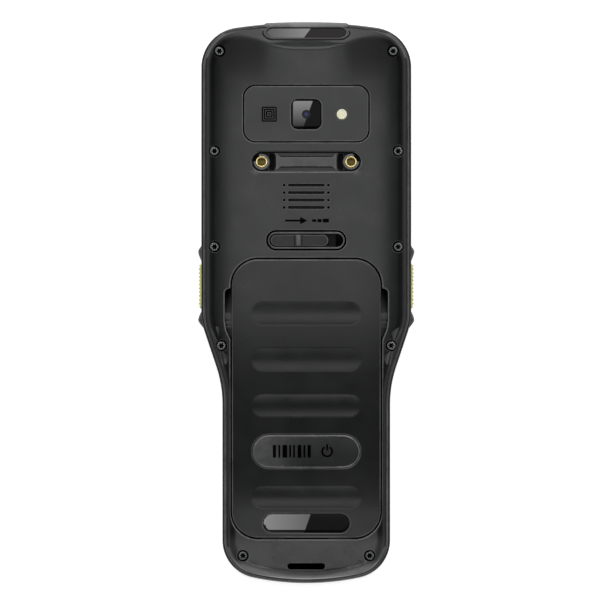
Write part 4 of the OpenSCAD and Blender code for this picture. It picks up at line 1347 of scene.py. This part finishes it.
def split_glass(name, dark, light, slant, middle, across, low, roughness=0.05, border=None,
                index=1.9):
    """Tinted glass with a painted reflection: its base colour is lighter and its reflecting coat
    lies on one side of a slanted line through the middle. The coat grows from low to 1 along
    (direction, from, to) and leaves out a printed border, given as {direction: (middle, half)}."""
    blur = 0.12
    made, tree, shader = surface_material(
        name, IOR=1.5, Specular_IOR_Level=0.05, Coat_IOR=index, Coat_Roughness=0.06)
    place = own_place(tree)
    parts = add_node(tree, "SeparateXYZ", {0: place}).outputs
    lean = worked_out(tree, "MULTIPLY_ADD", parts["Y"], -slant, parts["X"])
    side = ranged(tree, lean, 0.0, 1.0, (middle - blur) * MM, (middle + blur) * MM)
    cloud = noise(tree, place, 90.0)
    fade = blended(tree, cloud, colour(light), colour(light, 0.7))
    feed(tree, shader, {"Base Color": blended(tree, side, fade, colour(dark)),
                        "Roughness": ranged(tree, cloud, roughness, roughness + 0.05)})
    way, start, end = across
    bright = ranged(tree, parts[way], low, 1.0, start * MM, end * MM)
    for label, (centre, half) in (border or {}).items():
        bright = worked_out(tree, "SUBTRACT", bright, beyond(tree, parts[label], centre, half),
                            use_clamp=True)
    coated = worked_out(tree, "MULTIPLY_ADD", side, -1.0, 1.0)
    feed(tree, shader, {"Coat Weight": worked_out(tree, "MULTIPLY", coated, bright)})
    return made


# Camera window: tinted glass over the lens, with a painted reflection on its left part
slant, clear_half = 0.36, 4.75
window_glass = split_glass("camera_glass", "050506", "0c0c0e", slant, 0.6 - slant * camera_middle,
                           ("Y", 63.5, 73), low=0.12,
                           border={"X": (0, clear_half), "Y": (camera_middle, clear_half)})
lens_cover = Moulding()
lens_cover_loop = rounded(0, camera_middle, 10.6, 10.6, 2.4)
lens_cover_rings = lens_cover.rounding(lens_cover_loop, head_top - 0.15, 0.25)
lens_cover_rings.append(lens_cover.ring(lens_cover_loop, 0, head_top - 1))
lens_cover.bands(lens_cover_rings)
lens_cover.cap(lens_cover_rings[0])
lens_cover.cap(lens_cover_rings[-1])
lens_cover.piece("camera_glass", "terminal", window_glass, ["camera_window"], up=(0, 0, 1))


lens_radius = 1.6


def coated_lens():
    """Blue and violet of an antireflection coating, deeper towards the middle."""
    made, tree, shader = surface_material("coated_lens", Roughness=0.12, IOR=1.5,
                                          Specular_IOR_Level=0.1)
    centre = (0, camera_middle * MM, (head_top - 0.1) * MM)
    shift = add_node(tree, "VectorMath", {0: own_place(tree), 1: centre}, operation="SUBTRACT")
    away = add_node(tree, "VectorMath", {0: shift.outputs[0]}, operation="LENGTH")
    share = worked_out(tree, "MULTIPLY", away.outputs["Value"], 1 / (lens_radius * MM))
    rings = ((0.22, "262f62"), (0.4, "2c2848"), (0.62, "0e0e18"), (0.8, "161619"))
    feed(tree, shader, {"Base Color": graded(tree, share, "34427e", "060608", rings)})
    return made


lens = Moulding()
lens.lathe(0, camera_middle, [(lens_radius, head_top - 0.16), (1.57, head_top - 0.135),
                              (1.2, head_top - 0.13), (0.6, head_top - 0.125),
                              (0, head_top - 0.12)], 64)
lens.piece("camera_lens", "terminal", coated_lens(), up=(0, 0, 1))

# Flash: a frosted lens over the emitter
flash_glass = moulded("flash_lens_plastic", "e6e4c6", 0.3, grain=0.5, depth=0.03, uneven=0.1,
                      wear_and_painted_highlight=0)
flash = Moulding()
flash_profile = [(1.45, -3.2), (1.85, -1.25), (1.85, -0.2), (1.78, -0.06), (1.6, 0), (1.3, 0.02),
                 (1.15, -0.06), (0.8, -0.02), (0, 0.03)]
flash.lathe(flash_place, camera_middle, [(radius, head_top + level) for radius, level in flash_profile])
flash.piece("flash_dome", "terminal", flash_glass, ["flash_lens"], up=(0, 0, 1))


# ---- Scanning end ----
# The scan window lies in a slope. A dark frame holds the filter glass, and a hood over it
# keeps daylight out of the reader.
frame_plastic = moulded("scan_frame_plastic", "0a0a0b", 0.35, grain=0.18, wear_and_painted_highlight=0.02,
                        Specular_IOR_Level=0.15)
hood_plastic = moulded("hood_plastic", "101112", 0.33, grain=0.28)


def on_slope(u, v, w):
    """From the window's plane, v down the slope and w out of it, to the frame."""
    c, s = math.cos(scan_turn), math.sin(scan_turn)
    level = scan_plane(0, window_middle)
    return (u, window_middle + v * c + w * s, level - v * s + w * c)


frame_face, filter_face = 0.3, 0.05
window_frame = Moulding(on_slope)
frame_loop, glass_edge = pill(0, 0, 31.2, 7.6, 0.35), pill(0, 0, 28.5, 5.8, 0.35)
outside = [window_frame.ring(frame_loop, 0, -1.2)]
outside += window_frame.rounding(frame_loop, frame_face, 0.3, rising=True)
inner = window_frame.rounding(glass_edge, frame_face, 0.25, hole=True)
inner.append(window_frame.ring(glass_edge, 0, -0.5))
window_frame.bands(outside)
window_frame.bands(inner)
window_frame.skin(outside[-1], [inner[0]])
window_frame.piece("scan_bezel", "terminal", frame_plastic, ["scan_frame"], up=(0, 0, 1))

hood = Moulding()
hood_back, hood_half = 98.95, 15.2


def hood_top(x, y):
    """Upper face of the hood, which falls outwards less steeply than the window."""
    fall = 22.5 - (y - hood_back) * math.tan(lead_turn)
    return soft_min(fall, fall - (y - 100.2) * math.tan(math.radians(50)), 0.5)


hood_radius = 290
end_arc = [(x, half_length - hood_radius + math.sqrt(hood_radius ** 2 - x * x), 0.4)
           for x in (-14, -10, -5, 0, 5, 10, 14)]
hood_loop = filleted([(-hood_half, hood_back, 0.6), (-hood_half, half_length - 0.5, 0.9), *end_arc,
                      (hood_half, half_length - 0.5, 0.9), (hood_half, hood_back, 0.6)], 0.4)
hood_rings = hood.rounding(hood_loop, hood_top, 0.3, 5)
hood_rings.append(hood.ring(hood_loop, 0, 16.05))
hood.bands(hood_rings)
hood.skin(hood_rings[0])
hood.piece("scan_hood", "terminal", hood_plastic, up=(0, 0, 1))

# Filter glass with a painted reflection on its left part
slant = 0.72
scan_glass = split_glass("scan_filter", "0c0607", "120d0e", slant, 0.35 - slant * window_middle,
                         ("X", -14, 1), low=0.35, index=1.6)
filter_glass = Moulding(on_slope)
filter_loop = pill(0, 0, 28.3, 5.6, 0.35)
filter_rings = [filter_glass.ring(filter_loop, -0.5, filter_face)]
filter_rings += filter_glass.rounding(filter_loop, filter_face, 0.12, 3)
filter_rings.append(filter_glass.ring(filter_loop, 0, -0.5))
filter_glass.bands(filter_rings)
filter_glass.cap(filter_rings[0])
filter_glass.piece("scan_glass", "terminal", scan_glass, ["scan_window"], up=(0, 0, 1))


# ---- Latch ----
# Slider of the battery cover latch, moulded with a thumb rib. It runs in the slot of the
# rear housing.
latch_plastic = moulded("latch_plastic", "121314", 0.3, grain=0.24, wear_and_painted_highlight=0.09,
                        Specular_IOR_Level=0.25)
latch_centre = -2.45
slider_top = head_top - 0.5
rib_centre, rib_half, rib_top = -2.85, 1.65, head_top + 0.15


def slider_height(x, y):
    """The slider's top with its rounded thumb rib."""
    across = abs(x - rib_centre) / rib_half
    rise = 0.5 + 0.5 * math.cos(math.pi * min(1, across)) if across < 1 else 0
    return slider_top + (rib_top - slider_top) * min(1, rise * 1.6)


slider = Moulding()
slider_loop = pill(latch_centre, latch_middle, 20.8, 4.1, 0.25)
slider_rings = [slider.ring(slider_loop, 0, head_top - 2.4)]
slider_rings += slider.rounding(slider_loop, slider_height, 0.25, rising=True)
slider_rings.append(slider.ring(slider_loop, -0.45, slider_height))
slider.bands(slider_rings)
slider.skin(slider_rings[-1], fill=grid((-6, 0.5, 0.25), (20.4, 24.6, 0.5)), height=slider_height)
# Painted shade on the slider's sides below its top, and wear with painted highlight towards the crest of
# the thumb rib
slider.piece("latch_slider", "cover_latch", latch_plastic, ["cover_latch"], up=(0, 0, 1),
             painted_shade=lambda u, v, w: (slider_top - 0.3 - w) / 0.5,
             worn_and_highlit=lambda u, v, w: (w - slider_top) / (rib_top - slider_top))
# Painted shade: the flange under the slot is near black and almost without sheen, as it lies in shade
flange_painted_shade = moulded("flange_painted_shade", "09090a", 0.5, wear_and_painted_highlight=0, Specular_IOR_Level=0.1)
flange = Moulding()
flange_loop = rounded(latch_centre, latch_middle, 26, 6.4, 1)
flange_rings = [flange.ring(flange_loop, 0, head_top - drop) for drop in (3.45, 2.4)]
flange.band(*flange_rings)
flange.cap(flange_rings[0])
flange.cap(flange_rings[1])
flange.piece("latch_flange", "cover_latch", flange_painted_shade, up=(0, 0, 1))

# Printed direction marks above the latch: an arrow and three growing blocks
mark_ink = moulded("mark_ink", "030303", 0.7, grain=0.15, wear_and_painted_highlight=0, Specular_IOR_Level=0.02)
prints = Moulding()
print_face, print_foot = head_top + 0.012, head_top - 0.02
mark_line = 29.5
arrow = [(-7.6, 0.35), (-2.2, 0.35), (-2.2, 1.35), (0.4, 0), (-2.2, -1.35), (-2.2, -0.35),
         (-7.6, -0.35)]
blocks = [[(x, h / 2), (x + w, h / 2), (x + w, -h / 2), (x, -h / 2)]
          for x, w, h in ((2.1, 1.5, 0.95), (4.0, 1.5, 1.15), (5.9, 2.2, 1.35))]
for corners in (arrow, *blocks):
    face = [prints.point(u, v + mark_line, print_face) for u, v in corners]
    root = [prints.point(u, v + mark_line, print_foot) for u, v in corners]
    prints.cap(face)
    prints.band(face, root)
prints.piece("latch_marks", "terminal", mark_ink, up=(0, 0, 1))


# ---- Battery cover ----
# Snap-in lid over the battery, moulded with finger grooves across the grip. Hooks at its
# lower edge hold it, and the latch holds its upper edge.
cover_plastic = moulded("cover_shell_plastic", "0f1010", 0.3, grain=0.28, Specular_IOR_Level=0.35)
groove_first, groove_step, groove_length, groove_half = -3.9, 16.5, 39.5, 4.07
groove_depth, groove_rows = 0.42, (0, 1, 2, 4)
groove_radius = groove_half ** 2 / (2 * groove_depth) + groove_depth / 2
button_middle, button_length, button_width = -53.4, 38.5, 11.9
badge_middle, badge_length, badge_width = -79.3, 31.1, 6.8

cover = Moulding()
cover_loop = rounded(0, cover_middle, cover_width, cover_length, cover_corner, 0.5)
under_cover = moved(back, -cover_thick)
lid = [cover.ring(cover_loop, -0.92, back)]
lid += cover.rounding(cover_loop, back, 0.4, shift=-0.3)
lid += [cover.ring(cover_loop, -0.26, moved(under_cover, 0.2)),
        cover.ring(cover_loop, -0.34, under_cover)]
cover.bands(lid)
cover_holes = []
for number in groove_rows:
    y = groove_first - number * groove_step
    groove_loop = pill(0, y, groove_length, 2 * groove_half, 0.4)
    rings = [cover.ring(groove_loop, 0.35, back)]
    for inward in (-0.12, 0.0, 0.12, 0.3, 0.6, 1.0, 1.5, 2.1, 2.8, 3.5, 3.95):
        away = groove_half - inward
        rise = math.sqrt(groove_radius ** 2 - min(away, groove_half) ** 2) - groove_radius
        depth = max(0, rise + groove_depth)
        soft = 0.03 * max(0, 1 - abs(inward) / 0.12)
        rings.append(cover.ring(groove_loop, -inward, moved(moved(back, -depth), -soft)))
    cover.bands(rings)
    cover.cap(rings[-1])
    cover_holes.append(rings[0])


def on_grip(y):
    """Places a flat drawing on the falling back of the grip."""
    angle = spine_angle(y)
    c, s = math.cos(angle), math.sin(angle)
    return lambda u, v, w: (u, y + v * c - w * s, spine(y) + v * s + w * c)


button_place = on_grip(button_middle)
button_hole = pill(0, 0, button_length + 0.4, button_width + 0.4, 0.35)
hole_loop = [(u, button_middle + v * math.cos(spine_angle(button_middle)), nu, nv)
             for u, v, nu, nv in button_hole]
rim_rings = [cover.ring(hole_loop, 0.45, back)]
rim_rings += cover.rounding(hole_loop, back, 0.22, hole=True)
rim_rings.append(cover.ring(hole_loop, 0, under_cover))
cover.bands(rim_rings)
cover_holes.append(rim_rings[0])
badge_loop = pill(0, badge_middle, badge_length + 0.3, badge_width + 0.3, 0.3)
badge_seat = recess(cover, badge_loop, back, 0.12, moved(back, -0.5))
cover_holes.append(badge_seat[0])
cover_fill = [(u, v) for v in np.arange(-84, 15.5, 1.5) for u in np.arange(-26, 26.1, 1.5)]
cover.skin(lid[0], cover_holes, cover_fill, back)
cover.skin(lid[-1], [rim_rings[-1]], cover_fill, under_cover)
# Ribs and hooks under the lid, each with its reach below and into the lid
for x, y, width, length, below, into in ((21.6, -24, 1, 44, 0.8, 0.1),
                                         (12, cover_lower, 8, 3.6, 0, 0.6)):
    foot, root = moved(back, -(cover_thick + below)), moved(back, -(cover_thick - into))
    for side in (-1, 1):
        rib = rounded(side * x, y, width, length, 0.2, 0.6)
        rib_rings = [cover.ring(rib, -0.1, foot), cover.ring(rib, 0, moved(foot, 0.12)),
                     cover.ring(rib, 0, root)]
        cover.bands(rib_rings)
        cover.skin(rib_rings[0])
        cover.skin(rib_rings[-1])


def along_groove(v, beyond=1.02):
    """-1 at the lower side of a finger groove and 1 at its upper side, None beside them."""
    for number in groove_rows:
        t = (v - groove_first + number * groove_step) / groove_half
        if abs(t) < beyond:
            return t
    return None


def cover_depth(u, v, w):
    """Painted shade: 1 in the gaps, and a little at the lower sides of the grooves."""
    t, sunk = along_groove(v), back(u, v) - w
    if t is not None and abs(u) < groove_length / 2 and sunk < groove_depth + 0.05:
        return 0.3 * max(0, -t) * (sunk > 0.01)
    return (sunk - 1.0) / 0.6


def cover_worn(u, v, w):
    """Painted highlight on the upper sides of the grooves."""
    t, sunk = along_groove(v), back(u, v) - w
    in_length = abs(u) < groove_length / 2 + 0.1
    in_groove = t is not None and in_length and -0.01 < sunk < groove_depth + 0.05
    return 0.22 * max(0, t) * (sunk > 0.01) if in_groove else 0


def cover_plain(u, v, w):
    """The soft borders of the grooves get no wear and no painted highlight."""
    return along_groove(v, 1.12) is not None and abs(u) < groove_length / 2 + 0.45


cover.piece("battery_lid", "battery_cover", cover_plastic, ["battery_cover"], up=(0, 0, 1),
            painted_shade=cover_depth, worn_and_highlit=cover_worn, plain=cover_plain)

# Name plate, left bare: a glossy pill let into the cover, with a painted reflection on its left part
slant = 0.35
badge_painted_reflection = split_glass("badge_painted_reflection", "08080a", "0e0e0f", slant, 0.4 - slant * badge_middle,
                          ("X", 1, -15.5), low=0.5, roughness=0.12)
badge = Moulding()
badge_shape = pill(0, badge_middle, badge_length, badge_width, 0.3)
badge_top = moved(back, 0.06)
badge_rings = badge.rounding(badge_shape, badge_top, 0.3, 5)
badge_rings.append(badge.ring(badge_shape, 0, moved(back, -0.48)))
badge.bands(badge_rings)
badge.skin(badge_rings[0], fill=grid((-15, 15.1, 0.75), (-82.3, -76.3, 0.75)), height=badge_top)
badge.piece("name_plate", "battery_cover", badge_painted_reflection, up=(0, 0, 1))


# ---- Rear scan button ----
# Satin key in the battery cover that also wakes the terminal. Its marks are sunk into the
# cap: a short row of bars and the standby sign.
button_plastic = moulded("rear_button_plastic", "161718", 0.28, grain=0.35, uneven=0.1, wear_and_painted_highlight=0.17,
                         Specular_IOR_Level=0.5)
button = Moulding(button_place)
button_loop = pill(0, 0, button_length, button_width, 0.35)
cap_height, cap_dome, cap_tilt = 0.3, 0.1, 0.05


def button_edge(u, v):
    """Height of the button's edge, which tilts a little."""
    return cap_height - cap_tilt * v


def button_top(u, v):
    """Slightly domed face of the button."""
    dome = cap_dome * (1 - (v / (button_width / 2)) ** 2)
    return cap_height + dome - 0.0002 * u * u - cap_tilt * v


button_rings = [button.ring(button_loop, 0, -cover_thick - 0.6)]
button_rings += button.rounding(button_loop, button_edge, 0.45, 5, rising=True)
button_rings.append(button.ring(button_loop, -0.65, button_top))
button.bands(button_rings)


def sunken(shape, lip, close):
    """A mark sunk into the button's face; returns its upper ring."""
    rings = [button.ring(shape, lip, button_top), button.ring(shape, 0, moved(button_top, -0.06)),
             button.ring(shape, -0.02, moved(button_top, -0.35))]
    button.bands(rings)
    close(rings[-1])
    return rings[0]


# (width, space after it) of each bar
button_bars = ((1.1, 0.9), (0.6, 0.9), (1.6, 0.8), (0.6, 0.8), (0.6, 1.0), (1.3, 0.8), (0.6, 0.9), (1.1, 0))
bar_left, bar_length = -12.0, 4.6
holes = []
for width, space in button_bars:
    bar = rounded(bar_left + width / 2, 0, width, bar_length, 0.15, 0.3)
    holes.append(sunken(bar, 0.05, button.cap))
    bar_left += width + space
sign_centre, sign_radius, sign_stroke = 7.5, 2.1, 0.62
gap_angle = 32


def sign_arc(radius, start, end):
    """Arc of the standby sign, in degrees."""
    return [(sign_centre + radius * math.cos(math.radians(a)), radius * math.sin(math.radians(a)), 0)
            for a in np.linspace(start, end, 40)]


sign_corners = sign_arc(sign_radius, 90 - gap_angle, -270 + gap_angle)
sign_corners += sign_arc(sign_radius - sign_stroke, -270 + gap_angle, 90 - gap_angle)
stroke = rounded(sign_centre, 1.45, sign_stroke, 2.3, 0.2, 0.3)
for shape in (filleted(sign_corners, 0.3), stroke):
    holes.append(sunken(shape, 0.04, button.skin))
button.skin(button_rings[-1], holes, grid((-18.5, 18.6, 0.9), (-5, 5.1, 0.7)), button_top, clear=0.2)


def button_depth(u, v, w):
    """Painted shade: 1 down in the marks and in the gap round the button."""
    at_marks = abs(v) < 3 and abs(u) < 14
    return (button_top(u, v) - w - 0.1) / 0.15 if at_marks else -w


# Painted shade in the marks and the gap, and a painted highlight that makes the left half of the button
# lighter
button.piece("scan_button", "rear_button", button_plastic, ["rear_button"], up=(0, 0, 1),
             painted_shade=button_depth, worn_and_highlit=lambda u, v, w: 0.5 * ramp(-u, 0, 19),
             plain=lambda u, v, w: abs(v) < 3.5 and abs(u) < 14.5)


# ---- Side keys ----
# Two serrated rubber keys in a signal colour, one on each side, for the thumb and the
# fingers.
serration, serration_count = 1.38, 11
key_out = head_half + 0.45


def side_rib(u, v):
    """How far the serrated face stands out along the key."""
    inside = abs(u) < serration * serration_count / 2
    wave = 0.5 + 0.5 * math.cos(2 * math.pi * (u + serration / 2) / serration) if inside else 0
    fade = min(1, max(0, (key_width / 2 - 0.5 - abs(v)) / 0.5))
    return key_out + 0.5 * wave ** 0.7 * fade


for side, hand in ((-1, "left"), (1, "right")):
    key = Moulding(lambda u, v, w: (side * w, key_middle + u, key_height + v))
    key_loop = rounded(0, 0, key_length, key_width, 0.9, 0.4)
    key_rings = [key.ring(key_loop, 0, head_half - 3)]
    key_rings += key.rounding(key_loop, key_out, 0.4, rising=True)
    key.bands(key_rings)
    key.skin(key_rings[-1], fill=grid((-7.59, 7.6, 0.172), (-3.1, 3.2, 0.45)), height=side_rib,
             clear=0.12)
    key.piece(f"side_key_{hand}_rubber", f"side_key_{hand}", signal_rubber,
              [f"side_key_{hand}"], up=(side, 0, 0))


# ---- Socket flap ----
# Rubber flap that closes the charging socket.
flap_rubber = moulded("flap_rubber", "121213", 0.6, grain=0.25)
flap_length, flap_height, flap_level, flap_thick = 16.8, 7.4, 9.0, 1.4
flap = Moulding(lambda u, v, w: (u, -half_length + 1.8 - w, flap_level + v))
flap_loop = rounded(0, 0, flap_length, flap_height, 2)
flap_rings = [flap.ring(flap_loop, 0, 0)]
flap_rings += flap.rounding(flap_loop, flap_thick, 0.4, rising=True)
flap.bands(flap_rings)
flap.cap(flap_rings[-1])
flap.cap(flap_rings[0])
plug = pill(0, 0, 7.4, 1.8, 0.3)
plug_rings = [flap.ring(plug, 0, 0), flap.ring(plug, 0, -0.7), flap.ring(plug, -0.15, -0.8)]
flap.bands(plug_rings)
flap.cap(plug_rings[-1])
flap.piece("socket_flap", "usb_flap", flap_rubber, ["usb_flap"], up=(0, -1, 0))


# ---- Floor and light ----
# White table, three wide soft boxes overhead, two standing boxes and two low cards for the
# slopes at the terminal's ends, and an even room.
floor_mesh = bpy.data.meshes.new("floor")
floor_mesh.from_pydata([(-6, -6, 0), (6, -6, 0), (6, 6, 0), (-6, 6, 0)], [], [(0, 1, 2, 3)])
floor = bpy.data.objects.new("floor", floor_mesh)
scene.collection.objects.link(floor)
paper, tree, matt = surface_material("white_paper", Base_Color=(0.8, 0.8, 0.8, 1), Roughness=1.0,
                                     Specular_IOR_Level=0.0)
path = add_node(tree, "LightPath").outputs
mirrored = worked_out(tree, "ADD", path["Is Glossy Ray"], path["Is Transmission Ray"])
seen = worked_out(tree, "MULTIPLY_ADD", mirrored, 0.1, path["Is Camera Ray"])
glow = add_node(tree, "Emission", {"Strength": worked_out(tree, "MULTIPLY", seen, 0.72)})
together = add_node(tree, "AddShader", {0: matt.outputs[0], 1: glow.outputs[0]})
feed(tree, tree.nodes["Material Output"], {"Surface": together.outputs[0]})
floor_mesh.materials.append(paper)


def soft_box(name, width, height, place, target, strength):
    """Rectangular lamp that the camera doesn't see; strength in watts."""
    data = bpy.data.lights.new(name, "AREA")
    data.shape = "RECTANGLE"
    data.size, data.size_y = width, height
    data.energy = strength
    made = bpy.data.objects.new(name, data)
    made.location = place
    aim = Vector(target) - Vector(place)
    made.rotation_euler = aim.to_track_quat("-Z", "Y").to_euler()
    made.visible_camera = False
    scene.collection.objects.link(made)


soft_box("middle_box", 2.3, 0.54, (0, 0.13, 1.63), (0, 0.13, 0), 9.5)
soft_box("far_box", 2.3, 1.1, (0, 1.42, 1.65), (0, 1.42, 0), 30)
soft_box("near_box", 2.3, 1.1, (0, -1.7, 1.65), (0, -1.7, 0), 14)
soft_box("far_wall_box", 1.6, 0.42, (0, 1.2, 0.23), (0, 0, 0.23), 6.0)
soft_box("near_wall_box", 1.6, 0.6, (0, -1.2, 0.32), (0, 0, 0.32), 3.2)
soft_box("far_card", 0.09, 0.5, (0, 0.36, 0.001), (0, 0.36, 1), 0.31)
soft_box("near_card", 0.1, 0.5, (0, -0.36, 0.001), (0, -0.36, 1), 0.4)

world = bpy.data.worlds.new("room")
scene.world = world
world.use_nodes = True
tree = world.node_tree
path = add_node(tree, "LightPath").outputs
feed(tree, tree.nodes["Background"], {"Color": (0.97, 0.985, 1.0, 1),
                                      "Strength": ranged(tree, path["Is Camera Ray"], 0.06)})
scene.view_settings.view_transform = "Standard"
